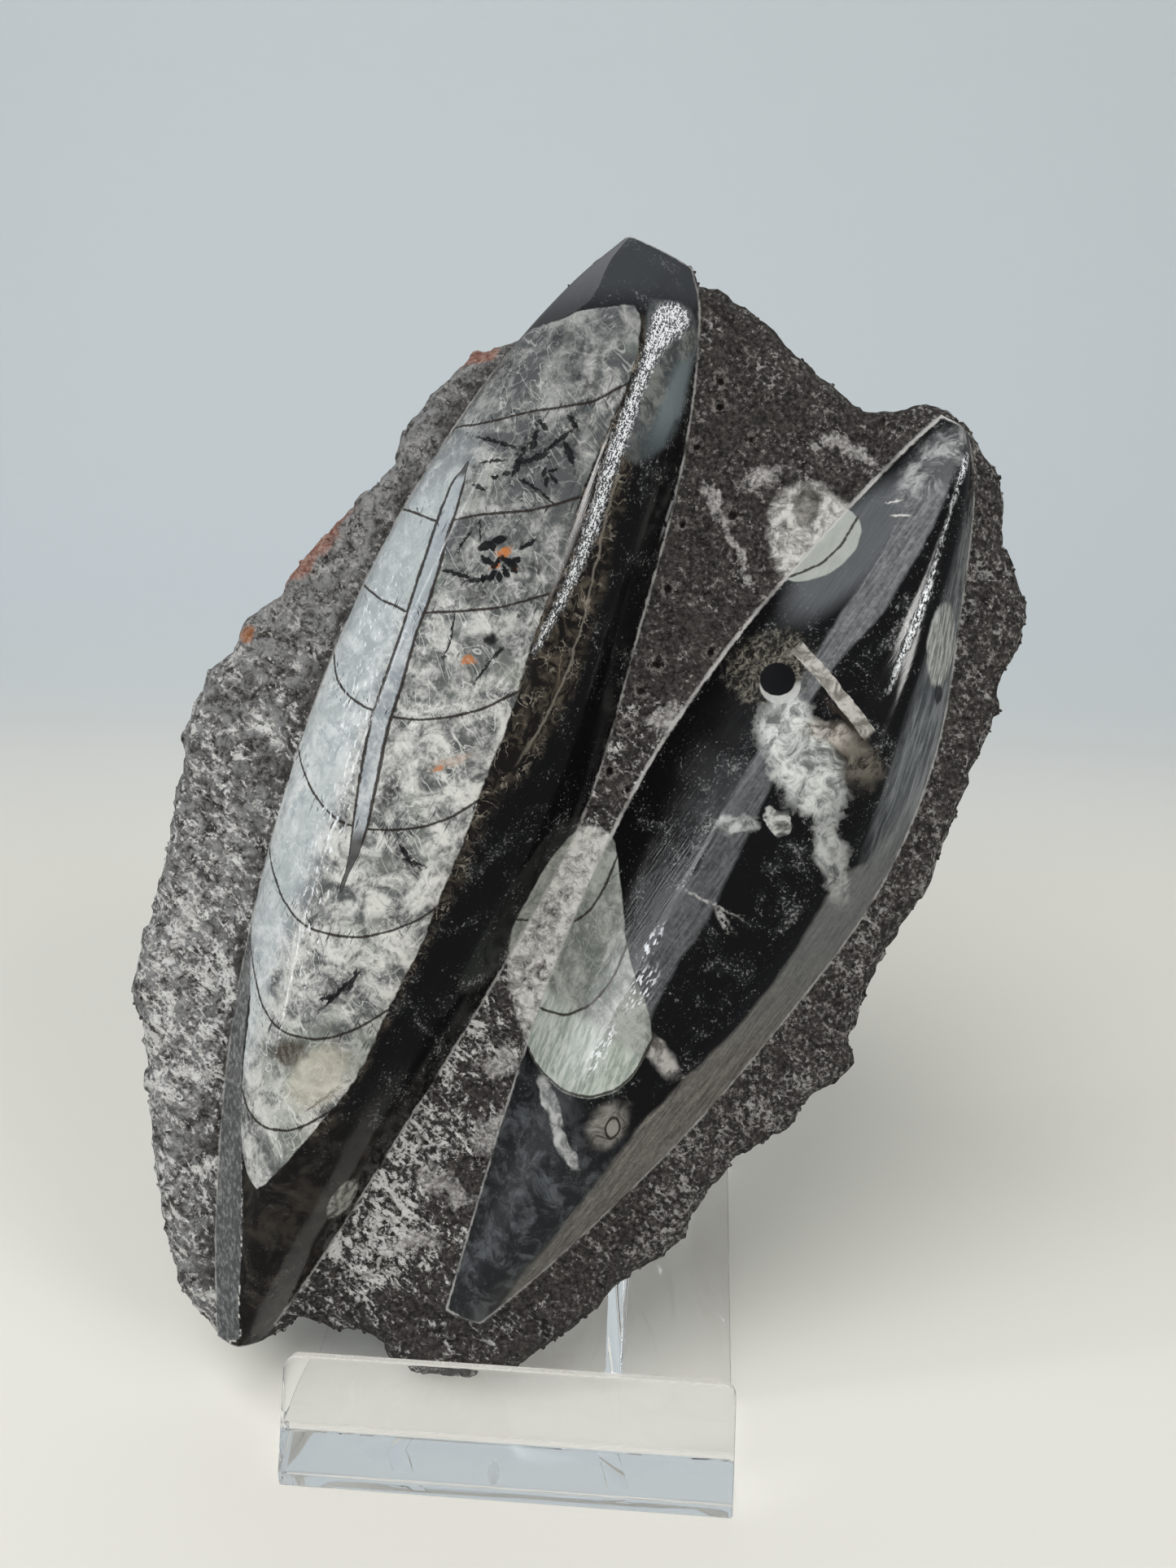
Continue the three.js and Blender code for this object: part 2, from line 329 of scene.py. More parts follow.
@dataclass(frozen=True)
class Ridge:
    """A polished ridge: cut facets between two edges, which it follows from its lower tip up."""

    stations: tuple[Station, ...]
    creases: tuple[Crease, ...]
    edge: float
    rows: int
    columns: int
    softness: float = 0.8

    def edge_line(self, side: str, along: np.ndarray) -> np.ndarray:
        """Points u, v, crest height on one edge, at even shares from station to station."""
        knots = tuple((*getattr(s, side), s.height) for s in self.stations)
        return Spline(knots).at(along)

    def grid(self) -> tuple[np.ndarray, np.ndarray]:
        """The polished surface as a net of points.

        Returns:
            The points, rows by columns by u, v, w, and the same net laid out flat, in millimetres.
        """
        fine = np.linspace(0, 1, 900)
        middle = (self.edge_line("left", fine) + self.edge_line("right", fine)) / 2
        run = np.concatenate([[0], np.cumsum(np.linalg.norm(np.diff(middle, axis=0), axis=1))])
        length = np.linspace(0, run[-1], self.rows)
        along = np.interp(length, run, fine)
        across = np.linspace(0, 1, self.columns)
        left, right = self.edge_line("left", along), self.edge_line("right", along)
        station = along * (len(self.stations) - 1)
        order = np.arange(len(self.stations))
        places = np.array([np.interp(station, order, c.across) for c in self.creases]).T
        rises = np.array([np.interp(station, order, c.rise) for c in self.creases]).T
        points = left[:, None] + (right - left)[:, None] * across[None, :, None]
        for row in range(self.rows):
            width = np.linalg.norm(right[row, :2] - left[row, :2])
            soft = np.minimum(self.softness / width, np.minimum(across, 1 - across))
            where = np.concatenate([[0], places[row], [1]])
            height = np.concatenate([[0], rises[row], [0]])
            profile = np.mean(
                [np.interp(across + soft * k, where, height) for k in (-1, -0.6, -0.2, 0.2, 0.6, 1)], axis=0
            )
            points[row, :, 2] = self.edge + points[row, :, 2] * profile
        widths = np.linalg.norm(np.diff(points, axis=1), axis=2)
        spread = np.concatenate([np.zeros((self.rows, 1)), np.cumsum(widths, axis=1)], axis=1)
        run = np.broadcast_to(length[:, None], spread.shape)
        return points, np.stack([run, spread - spread[:, -1:] / 2], axis=2)

    def ring(self) -> np.ndarray:
        """The net's border, as point numbers in order round it."""
        number = np.arange(self.rows * self.columns).reshape(self.rows, self.columns)
        return np.concatenate([number[:-1, 0], number[-1, :-1], number[:0:-1, -1], number[0, :0:-1]])


TALL_RIDGE = Ridge(
    stations=(
        Station((-41.6, 11.4), (-33.4, 11.2), 3.5),
        Station((-42.3, 30), (-24.6, 24.4), 8.5),
        Station((-40.9, 60), (-9.6, 49.8), 12.5),
        Station((-36, 90), (5.8, 76.7), 15),
        Station((-27.8, 120), (19.6, 104.7), 16),
        Station((-15.5, 150), (28, 136), 15.5),
        Station((1.8, 178), (34.8, 167), 13),
        Station((14.4, 192.8), (36.2, 188.6), 8.5),
        Station((23.4, 200.6), (34.8, 195.6), 2.5),
    ),
    creases=(
        Crease((0.46, 0.4, 0.14, 0.05, 0.05, 0.04, 0.04, 0.05, 0.03),
               (0.9, 0.88, 0.42, 0.26, 0.24, 0.24, 0.26, 0.3, 0.4)),
        Crease((0.54, 0.5, 0.34, 0.27, 0.26, 0.26, 0.26, 0.28, 0.12),
               (1, 1, 0.84, 0.77, 0.76, 0.76, 0.78, 0.84, 1)),
        Crease((0.64, 0.6, 0.5, 0.48, 0.48, 0.48, 0.48, 0.48, 0.5), (0.95, 0.97, 1, 1, 1, 1, 1, 1, 0.96)),
        Crease((0.74, 0.72, 0.68, 0.67, 0.67, 0.66, 0.67, 0.66, 0.7),
               (0.8, 0.85, 0.92, 0.94, 0.95, 0.95, 0.95, 0.95, 0.8)),
        Crease((0.82, 0.8, 0.76, 0.74, 0.73, 0.7, 0.75, 0.86, 0.86),
               (0.6, 0.66, 0.78, 0.82, 0.84, 0.9, 0.78, 0.55, 0.5)),
        Crease((0.92, 0.92, 0.91, 0.91, 0.91, 0.91, 0.91, 0.94, 0.95),
               (0.3, 0.33, 0.36, 0.36, 0.36, 0.38, 0.38, 0.35, 0.3)),
    ),
    edge=0.6,
    rows=300,
    columns=76,
)
LONG_RIDGE = Ridge(
    stations=(
        Station((-1.4, 18.6), (4.6, 16.6), 0.6),
        Station((2.8, 35), (16.6, 27.9), 5),
        Station((10.6, 63.5), (37.3, 49.8), 9.5),
        Station((18.2, 86.5), (52.5, 68.9), 12),
        Station((30, 113), (69, 93.5), 13),
        Station((43.1, 133.7), (77.4, 116.2), 12.5),
        Station((58, 152.5), (80.7, 140.9), 10),
        Station((70, 166), (82, 159.8), 7),
        Station((76.3, 172.2), (80.9, 168.4), 2.5),
    ),
    creases=(
        Crease((0.45, 0.4, 0.37, 0.37, 0.36, 0.38, 0.47, 0.5, 0.5),
               (0.95, 0.94, 0.94, 0.94, 0.95, 0.95, 0.95, 0.95, 0.95)),
        Crease((0.6, 0.56, 0.55, 0.54, 0.52, 0.55, 0.64, 0.68, 0.7), (1, 1, 1, 1, 1, 1, 1, 1, 1)),
        Crease((0.78, 0.77, 0.76, 0.76, 0.75, 0.74, 0.78, 0.8, 0.8),
               (0.78, 0.8, 0.82, 0.82, 0.83, 0.84, 0.85, 0.85, 0.85)),
        Crease((0.82, 0.81, 0.8, 0.8, 0.79, 0.8, 0.84, 0.86, 0.86),
               (0.65, 0.66, 0.68, 0.7, 0.72, 0.7, 0.68, 0.65, 0.65)),
    ),
    edge=0.6,
    rows=250,
    columns=48,
)

# The slab's outline as u, v points, clockwise from the tip of the tall ridge.
OUTLINE = (
    (23.2, 200.8), (28.3, 199), (34.2, 196), (36.6, 194), (39.4, 193.2), (46.7, 188.2), (53.3, 182.6),
    (60, 176.8), (63.3, 174.2), (70.6, 174.2), (73.9, 175), (77.8, 174.2), (81.2, 171), (85.6, 164.4),
    (87.4, 160), (88.1, 152), (90.6, 145.8), (92, 142), (91.5, 137), (88.4, 128), (87.6, 121.5),
    (83.9, 113.3), (81.1, 105), (78.9, 98.5), (75.6, 90.6), (71.7, 84.4), (68.6, 77), (66.4, 70.6),
    (65.9, 66.7), (66.7, 63.9), (63.3, 60), (59.5, 57.8), (55.6, 51.9), (48.9, 47.6), (43.3, 41.1),
    (40.2, 36), (38, 31), (32.2, 26.7), (27.5, 23.5), (23.3, 17.8), (15.5, 11.5), (8.5, 4.6), (4, 2),
    (0, 0.7), (-4.5, 0.9), (-8.5, 1.4), (-11.2, 3.6), (-13.5, 9.6), (-18, 12), (-22.2, 12.4),
    (-28.3, 13.7), (-31, 11), (-34.4, 9.2), (-38.3, 8.4), (-41.9, 8.8), (-46.1, 13.7), (-50.2, 20),
    (-52.8, 28.3), (-53.9, 34), (-55.6, 43), (-57, 55), (-57.6, 63.5), (-59.8, 70), (-58.6, 76.5),
    (-56, 87), (-54, 96), (-52.6, 105), (-51.4, 112.5), (-51.8, 116), (-48.9, 122), (-46.2, 128.4),
    (-41.8, 132), (-41.6, 135.6), (-34.7, 140.4), (-32.6, 144.6), (-26.2, 152.4), (-20, 158.8),
    (-15.4, 163.8), (-12.8, 171), (-7.2, 177), (-3.6, 181.2), (-2.4, 182.6), (2.8, 183.8), (6, 185.4),
    (9.4, 188.4), (14.2, 194), (18.6, 198.2),
)


@dataclass(frozen=True)
class Pit:
    """A small round pit in the rough face, with a raised pale rim."""

    u: float
    v: float
    radius: float = 0.8


PITS = (
    Pit(40, 177.5), Pit(40.1, 173.4), Pit(42.9, 155.4, 0.9), Pit(34.6, 153.6, 0.7), Pit(32.5, 142.9),
    Pit(31.1, 130.4, 0.9), Pit(28.6, 125.7), Pit(26.4, 119.9, 0.9), Pit(40, 132.5, 0.7), Pit(23.7, 112.1),
    Pit(26.8, 109.1, 0.7), Pit(36.5, 166.5, 0.7), Pit(45.5, 168, 0.6),
)


@dataclass
class MeshParts:
    """Points, triangles, their flat layout and their materials, as they are gathered."""

    points: np.ndarray
    triangles: np.ndarray
    layout: np.ndarray
    looks: np.ndarray


@dataclass
class FossilStone:
    """The limestone slab with its two polished ridges, as one closed mesh."""

    name: str = "polished_orthoceras_slab"
    border_points: int = 800
    rough_spacing: float = 0.62
    back_spacing: float = 2.1
    rim_rows: int = 15
    rim_w: float = -3.5
    knob_rim_w: float = -7.0
    knob_top: float = 14.0
    back_w: float = -13.4
    back_inset: float = 2.6
    ridge_clearance: float = 0.7
    foot: float = 1.5
    foot_top: float = 12.0
    noise: StoneNoise = StoneNoise()

    def rim_level(self, v: np.ndarray) -> np.ndarray:
        """The w of the rim's front edge, lower under the knob that carries the slab."""
        share = np.clip(1 - v / self.knob_top, 0, 1)
        return self.rim_w + (self.knob_rim_w - self.rim_w) * smoothstep(share, 0, 0.6)

    def above_foot(self, v: np.ndarray) -> np.ndarray:
        """0 at the slab's foot, which stays smooth where it rests, and 1 above it."""
        return smoothstep(v, self.foot, self.foot_top)

    def border(self, rings: list[np.ndarray]) -> tuple[np.ndarray, np.ndarray]:
        """The slab's chipped outline.

        Args:
            rings: the ridges' borders, which it stays clear of.

        Returns:
            Its points, anticlockwise, and the directions out of it.
        """
        line = Spline(tuple(reversed(OUTLINE)), closed=True).spaced(self.border_points)
        for _ in range(2):
            smooth = eased(line, 6)
            ahead = np.roll(smooth, -1, axis=0) - np.roll(smooth, 1, axis=0)
            out = np.stack([ahead[:, 1], -ahead[:, 0]], axis=1)
            out /= np.linalg.norm(out, axis=1)[:, None]
            solid = np.column_stack([line, np.zeros(len(line))])
            calm = self.above_foot(line[:, 1])
            chips = 0.34 * self.noise.chips(solid, 3.4) + 0.16 * self.noise.smooth(solid, 1.5)
            line = line + out * (0.8 * calm * chips)[:, None]
            for ring in rings:
                short = self.ridge_clearance + depth_in(line, ring)
                line = line + out * np.clip(short, 0, 4)[:, None]
        return line, out

    def rough_height(self, flat: np.ndarray, border: np.ndarray, rings: list[np.ndarray]) -> np.ndarray:
        """Heights w of the broken face.

        Args:
            flat: u, v rows.
            border: the slab's outline.
            rings: the ridges' borders, where the face meets their lower edges.

        Returns:
            One height for each row.
        """
        solid = np.column_stack([flat, np.zeros(len(flat))])
        height = 0.8 * self.noise.fractal(solid, 15, 2)
        height += 0.75 * self.noise.chips(solid, 6.5)
        height += 0.5 * self.noise.chips(solid + 40, 2.8)
        height += 0.36 * self.noise.fractal(solid + 90, 1.9, 2)
        to_border = gap_to(flat, border[::4])
        to_ridge = np.min([gap_to(flat, ring[::3]) for ring in rings], axis=0)
        free = 0.18 + 0.82 * smoothstep(to_ridge, 0, 3.5)
        height = TALL_RIDGE.edge * (1 - smoothstep(to_ridge, 0, 5)) + height * free
        for pit in PITS:
            away = np.hypot(flat[:, 0] - pit.u, flat[:, 1] - pit.v) / pit.radius
            height += 0.3 * np.exp(-((away - 1.7) ** 2) / 0.3) - 1.0 * np.exp(-(away**2) / 0.7)
        fall = self.rim_level(flat[:, 1])
        return height + 0.72 * fall * np.exp(-to_border / 1.3) + 0.28 * fall * np.exp(-to_border / 5)

    def rim(self, border: np.ndarray, out: np.ndarray) -> np.ndarray:
        """Points of the broken rim, row by row from the face to the back.

        Args:
            border: the outline's points.
            out: the directions out of it.

        Returns:
            Rows by points by u, v, w.
        """
        share = np.linspace(0, 1, self.rim_rows + 1)[:, None]
        top = self.rim_level(border[:, 1])[None]
        level = top + (self.back_w - top) * share
        inset = self.back_inset * np.clip((share - 0.33) / 0.67, 0, 1) ** 1.9 + 0 * level
        solid = np.stack([*np.broadcast_arrays(border[None, :, 0], border[None, :, 1], level)], axis=2)
        rough = solid.reshape(-1, 3)
        bump = 0.45 * self.noise.chips(rough, 5.2) + 0.3 * self.noise.fractal(rough, 2.4, 2)
        calm = self.above_foot(border[:, 1])[None]
        taper = np.sin(np.pi * np.clip(share, 0, 0.96)) ** 0.5
        moved = (bump.reshape(level.shape) * (0.25 + 0.75 * calm) * taper - inset)[..., None]
        solid[..., :2] += moved * out[None]
        for row, part in zip(solid, share.ravel()):
            row[:, :2] += (eased(row[:, :2], 5) - row[:, :2]) * smoothstep(part, 0.5, 1)
        return solid

    def gather(self) -> MeshParts:
        """Build every region of the surface and join them."""
        ridges = (TALL_RIDGE, LONG_RIDGE)
        nets, flats, rings, ring_numbers = [], [], [], []
        for ridge in ridges:
            net, flat = ridge.grid()
            nets.append(net)
            flats.append(flat)
            ring_numbers.append(ridge.ring())
            rings.append(net.reshape(-1, 3)[ridge.ring(), :2])
        border, out = self.border(rings)
        side = len(border)
        field_points = hexagon_points(border.min(0), border.max(0), self.rough_spacing, 5)
        keep = within(field_points, border) & (gap_to(field_points, border) > 0.6 * self.rough_spacing)
        for ring in rings:
            keep &= depth_in(field_points, ring) < -0.55 * self.rough_spacing
        field_points = field_points[keep]
        rim = self.rim(border, out)
        back_line = rim[-1, :, :2]
        back = hexagon_points(back_line.min(0), back_line.max(0), self.back_spacing, 6)
        keep = within(back, back_line) & (gap_to(back, back_line) > 0.5 * self.back_spacing)
        back = back[keep]

        rough = np.column_stack([field_points, self.rough_height(field_points, border, rings)])
        solid = np.column_stack([back, np.zeros(len(back))])
        behind = self.back_w + 0.4 * self.noise.chips(solid, 9) + 0.25 * self.noise.fractal(solid, 4, 2)
        back = np.column_stack([back, np.maximum(behind, self.back_w - 0.65)])
        first = {"rim": 0, "tall": rim.reshape(-1, 3).shape[0]}
        first["long"] = first["tall"] + nets[0][..., 0].size
        first["rough"] = first["long"] + nets[1][..., 0].size
        first["back"] = first["rough"] + len(rough)
        points = np.concatenate([*(net.reshape(-1, 3) for net in (rim, *nets)), rough, back])

        pieces = []
        sheet = TextureSheet()
        looks, spots = (Region.TALL, Region.LONG), (sheet.tall, sheet.long)
        starts = (first["tall"], first["long"])
        for ridge, flat, start, look, spot in zip(ridges, flats, starts, looks, spots):
            number = start + np.arange(ridge.rows * ridge.columns).reshape(ridge.rows, ridge.columns)
            a, b = number[:-1, :-1].ravel(), number[:-1, 1:].ravel()
            c, d = number[1:, 1:].ravel(), number[1:, :-1].ravel()
            triangles = np.concatenate([np.stack([a, b, c], 1), np.stack([a, c, d], 1)])
            pieces.append((triangles, spot(flat.reshape(-1, 2))[triangles - start], look))

        holes = (first[label] + numbers for label, numbers in zip(("tall", "long"), ring_numbers))
        loop = np.concatenate([np.arange(side), *holes])
        numbers = np.concatenate([loop, first["rough"] + np.arange(len(rough))])
        lengths = [side, *(len(n) for n in ring_numbers)]
        triangles = self.fill(points[numbers][:, :2], lengths)
        triangles = numbers[triangles]
        pieces.append((triangles, sheet.face(points[:, :2])[triangles], Region.ROUGH))

        index = np.arange(side)
        for row in range(self.rim_rows):
            low, high = row * side, (row + 1) * side
            nxt = (index + 1) % side
            quads = np.stack([low + index, high + index, high + nxt, low + nxt], 1)
            x = np.stack([index, index, index + 1, index + 1], 1) / side
            y = np.stack([index * 0 + row, index * 0 + row + 1, index * 0 + row + 1, index * 0 + row], 1)
            flat = sheet.rim(x, y / self.rim_rows)
            for corners in ((0, 1, 2), (0, 2, 3)):
                pieces.append((quads[:, corners], flat[:, corners], Region.ROUGH))

        last = self.rim_rows * side + np.arange(side)
        numbers = np.concatenate([last, first["back"] + np.arange(len(back))])
        triangles = numbers[self.fill(points[numbers][:, :2], [side])][:, ::-1]
        pieces.append((triangles, sheet.back(points[:, :2])[triangles], Region.ROUGH))
        return MeshParts(
            points,
            np.concatenate([t for t, _, _ in pieces]),
            np.concatenate([f for _, f, _ in pieces]),
            np.concatenate([np.full(len(t), look.value) for t, _, look in pieces]),
        )

    def fill(self, flat: np.ndarray, lengths: list[int]) -> np.ndarray:
        """Triangles inside the first loop of points and outside the others.

        Args:
            flat: u, v rows: each loop's points in order, then the points between the loops.
            lengths: how many points each loop has, the outer one first.

        Returns:
            Rows of three point numbers, anticlockwise.
        """
        edges, loops, start = [], [], 0
        for length in lengths:
            edges += [(start + k, start + (k + 1) % length) for k in range(length)]
            loops.append(flat[start : start + length])
            start += length
        found = delaunay_2d_cdt([Vector(p) for p in flat.tolist()], edges, [], 1, 1e-7, False)
        triangles = np.array(found[2])
        corners = flat[triangles]
        middle = corners.mean(axis=1)
        keep = within(middle, loops[0])
        for hole in loops[1:]:
            keep &= ~within(middle, hole)
        spans = corners[:, 1:] - corners[:, :1]
        turned = spans[:, 0, 0] * spans[:, 1, 1] - spans[:, 0, 1] * spans[:, 1, 0] < 0
        triangles[turned] = triangles[turned][:, ::-1]
        return triangles[keep]

    def build(self, finishes: list[bpy.types.Material]) -> bpy.types.Object:
        """Make the stone and dress it.

        Args:
            finishes: one material for each region, in Region's order.

        Returns:
            The stone, in the row frame.
        """
        parts = self.gather()
        mesh = bpy.data.meshes.new(self.name)
        mesh.vertices.add(len(parts.points))
        mesh.vertices.foreach_set("co", SLAB.to_row(parts.points).astype(np.float32).ravel())
        mesh.loops.add(parts.triangles.size)
        mesh.loops.foreach_set("vertex_index", parts.triangles.astype(np.int32).ravel())
        mesh.polygons.add(len(parts.triangles))
        mesh.polygons.foreach_set("loop_start", np.arange(0, parts.triangles.size, 3, dtype=np.int32))
        mesh.polygons.foreach_set("material_index", parts.looks.astype(np.int32))
        mesh.update(calc_edges=True)
        for finish in finishes:
            mesh.materials.append(finish)
        layout = mesh.uv_layers.new(name="OFBake")
        layout.uv.foreach_set("vector", parts.layout.astype(np.float32).ravel())
        self.sharpen(mesh, parts)
        for label, values in Markings().values(parts.points).items():
            mesh.attributes.new(label, "FLOAT", "POINT").data.foreach_set("value", values.astype(np.float32))
        log.info("%s: %d triangles", self.name, len(mesh.polygons))
        return new_object(self.name, mesh)

    def sharpen(self, mesh: bpy.types.Mesh, parts: MeshParts) -> None:
        """Mark the edges between polished and rough stone as sharp.

        Args:
            mesh: the stone's mesh.
            parts: what it was made from.
        """
        polished = np.zeros(len(parts.points), bool)
        broken = np.zeros(len(parts.points), bool)
        broken[parts.triangles[parts.looks == Region.ROUGH.value].ravel()] = True
        polished[parts.triangles[parts.looks != Region.ROUGH.value].ravel()] = True
        shared = polished & broken
        edges = np.empty(2 * len(mesh.edges), np.int32)
        mesh.edges.foreach_get("vertices", edges)
        sharp = shared[edges.reshape(-1, 2)].all(axis=1)
        mesh.attributes.new("sharp_edge", "BOOLEAN", "EDGE").data.foreach_set("value", sharp)


@dataclass(frozen=True)
class TextureSheet:
    """Where each region of the stone lies on its square texture, in shares of the sheet."""

    density: float = 0.0049
    face_density: float = 0.00255
    back_density: float = 0.0016
    margin: float = 0.008
    tall_row: float = 0.855
    long_row: float = 0.59
    face_row: float = 0.36
    back_corner: tuple[float, float] = (0.56, 0.33)
    rim_length: float = 1.95
    rim_row: float = 0.05
    rim_height: float = 0.04

    def tall(self, flat: np.ndarray) -> np.ndarray:
        """The tall ridge's net, in millimetres, placed at the top."""
        return flat * self.density + np.array([self.margin, self.tall_row])

    def long(self, flat: np.ndarray) -> np.ndarray:
        """The long ridge's net, in millimetres, placed below the tall one's."""
        return flat * self.density + np.array([self.margin, self.long_row])

    def face(self, flat: np.ndarray) -> np.ndarray:
        """The rough face, turned on its side."""
        turned = np.stack([flat[:, 1], -flat[:, 0]], 1)
        return turned * self.face_density + np.array([self.margin, self.face_row])

    def back(self, flat: np.ndarray) -> np.ndarray:
        """The back, turned on its side."""
        return np.stack([flat[:, 1], -flat[:, 0]], 1) * self.back_density + np.array(self.back_corner)

    def rim(self, run: np.ndarray, down: np.ndarray) -> np.ndarray:
        """The rim, cut in two strips.

        Args:
            run: shares of the way round, per face corner, from 0 to 1.
            down: shares of the way from the face to the back.

        Returns:
            Places on the sheet.
        """
        second = (run.mean(axis=1, keepdims=True) > 0.5).astype(float)
        u = self.margin + (run - 0.5 * second) * self.rim_length
        return np.stack([u, self.rim_row - self.rim_height * down + self.rim_row * second], axis=-1)


# Chamber walls of the long shell, from its left side to its right one, the lowest first.
LONG_SHELL_WALLS = (
    ((-36, 55.6), (-34.9, 53.5), (-32.6, 52), (-29.9, 51.5), (-26.7, 51.7), (-23.5, 52.8), (-20.8, 54.5)),
    ((-34.4, 74.9), (-33.1, 71.7), (-30.4, 69), (-26.7, 67.6), (-22.6, 67.4), (-19, 67.9), (-14.9, 69.5),
     (-10.8, 72.2)),
    ((-31.5, 92.2), (-29.9, 89.5), (-26.7, 86.7), (-23.1, 85.1), (-18.5, 84.5), (-14, 84.6), (-9.5, 85.8),
     (-4.9, 87.8), (-2, 90.1)),
    ((-26.9, 109.9), (-25.4, 107.6), (-22.2, 104.7), (-19, 102.9), (-16.7, 102.2), (-14, 101.9),
     (-9.5, 102), (-4.9, 102.6), (-0.4, 104.2), (3.3, 106.7)),
    ((-22.6, 127.6), (-21.7, 125.4), (-19, 123.1), (-15.8, 121.5), (-13.5, 120.8), (-10.2, 119.9),
     (-5.8, 119.6), (-1.3, 120.1), (4.2, 121.5), (8.7, 124)),
    ((-16.4, 140.6), (-14, 139), (-11.5, 138.2), (-9.2, 136.9), (-5.5, 136.8), (1, 137), (6, 137.5),
     (9.5, 138.5), (14, 140)),
    ((-11, 154.5), (-8, 153.2), (-5, 151.8), (-1.5, 151.8), (2.5, 152.5), (10, 152.8), (14, 153.8),
     (18, 155.2)),
    ((-3.2, 168.5), (0, 168.2), (6, 168.4), (10.5, 169.2), (15, 169.5), (20, 170.4), (23.8, 172.8)),
)
SIPHON_LEFT = (
    (-18.1, 92.2), (-16.9, 97.6), (-16.5, 102.6), (-15.8, 109.9), (-14.9, 115.8), (-14.2, 119.9),
    (-12.6, 124.9), (-9.8, 133.8), (-7.8, 141.5), (-6.5, 146), (-5, 151.8), (-4.2, 154.5), (-2.8, 158.5),
    (-0.6, 161.2),
)
SIPHON_RIGHT = (
    (-18.1, 92.2), (-15.4, 97.6), (-14, 102.2), (-12.6, 109.9), (-11.7, 115.8), (-10.8, 119.9),
    (-9.2, 124.9), (-7.1, 133.8), (-5.3, 138.5), (-3.8, 144), (-2.8, 149), (-1.5, 153.5), (-0.6, 158),
    (-0.3, 161.2),
)
LONG_SHELL = (
    (5, 183.6), (9.5, 184.6), (14, 185), (17, 185.9), (21, 186), (26.2, 186.4), (27, 182), (25.4, 174),
    (22.4, 166), (18.6, 155.6), (16.4, 146.3), (13.7, 138.5), (11.4, 131.2), (9.9, 125.2), (8.2, 119.3),
    (5.8, 112.9), (3.9, 107.1), (2, 101.4), (-0.2, 95.7), (-2.4, 90.3), (-5.2, 82.9), (-7.6, 77.9),
    (-10.2, 72.6), (-15.2, 61.4), (-21.4, 52.9), (-28.6, 44.3), (-32.5, 41), (-35.9, 46.4), (-36.4, 55.7),
    (-36.3, 62), (-35.5, 70), (-36.5, 80), (-38, 95), (-32, 120), (-20, 150), (-3, 180),
)
LOWER_SHELL = (
    (20.4, 102.9), (15, 97.9), (11.4, 91.4), (8.6, 85.7), (7.5, 80), (8.2, 74.3), (10.4, 67.1),
    (13.6, 61.1), (17.9, 58.7), (22.9, 58.4), (27.1, 60), (30, 62.9), (32.5, 67.9), (31.8, 74.3),
    (29.6, 79.3), (27.9, 84.3), (26.8, 91.4), (25.4, 98.6), (24.6, 101.1),
)
LOWER_SHELL_WALLS = (
    ((10.4, 66), (13.6, 61.9), (17.9, 59.5), (22.9, 59.2), (27.1, 60.8), (30, 63.7), (32.5, 69)),
    ((7.9, 77.1), (10, 73.2), (13.6, 71.4), (17.9, 71.2), (22.1, 73.6), (25.7, 77.9), (27.5, 82.9)),
    ((11, 86.4), (15, 85.6), (18.5, 86.4), (21.4, 88.8), (23.6, 92.6), (25.2, 97)),
)
UPPER_SHELL = (
    (50.2, 158.5), (53.5, 160.2), (58, 159.6), (60.5, 157.6), (62.6, 155.6), (63.6, 153.4), (62.6, 149.4),
    (60, 146.4), (57, 144.9), (52.6, 144.6), (50.2, 148), (49.4, 153),
)
UPPER_SHELL_WALLS = (((50, 144.6), (53.5, 145.6), (57.4, 147.2), (60.5, 150.2), (62.4, 153.7)),)
# Outline of a painted highlight: the grey band of bright glints down the tall ridge's right flank.
PAINTED_GLINT_BAND = (
    (29.4, 187.2), (27.4, 180), (25.2, 172), (22.6, 164), (20.8, 157), (18.9, 150), (15.4, 140),
    (11.4, 130), (11.9, 129.8), (17.4, 140), (21.4, 150), (23.4, 157), (25.6, 164), (28, 172), (31, 180),
    (34.7, 184.6), (35, 187.2), (32, 188.6),
)
SHEEN_SHOULDER = (
    (28, 187), (27.8, 178), (25.8, 169), (24.4, 163), (27, 161.6), (31.4, 165), (34.2, 172), (35.8, 180),
    (36, 186), (34, 188.5),
)
BROWN_VEIL = (
    (27.5, 186), (29, 176), (27, 165), (24, 150), (22, 140), (18, 125), (12, 113), (5, 104), (2, 95),
    (-3, 85), (-8, 75), (-14, 62), (-20, 52), (-24, 50), (-15.7, 61.4), (-8, 77.9), (-0.9, 95.7),
    (5.2, 112.9), (9.1, 125.7), (12.5, 138.7), (17.9, 156.6), (22.1, 168),
)
LEFT_FACET = (
    (-16, 149), (-20, 138), (-25.2, 120), (-29.6, 105), (-33.4, 88), (-35.6, 75), (-36.6, 62),
    (-36.2, 50), (-35.6, 40), (-35.2, 30), (-36, 20), (-37, 12), (-50, 12), (-50, 60), (-46, 90),
    (-36, 125), (-22, 150),
)
TIP_FACET = ((25, 203), (21.5, 195), (18.2, 187), (8, 184), (2, 183), (10, 196))
CROWN_BAND = (
    (73.4, 163), (70, 157), (66, 148), (59.6, 137.5), (52.5, 125), (46, 113), (39.8, 99), (33.6, 89),
    (30.2, 80), (28.6, 72), (31.5, 71), (33.4, 76), (36.4, 82), (40.9, 89.5), (44.5, 98), (48, 106),
    (52, 116), (58.5, 129), (66, 138), (71.5, 147.5), (75.5, 156), (77.6, 166),
)
BROWN_FLANK = (
    (66.5, 99), (62, 97), (55.6, 85), (47, 72), (38.6, 63.4), (33, 57), (26, 47), (18, 35), (8, 20),
    (6, 10), (40, 30), (70, 70), (80, 100), (80, 120), (74, 116),
)
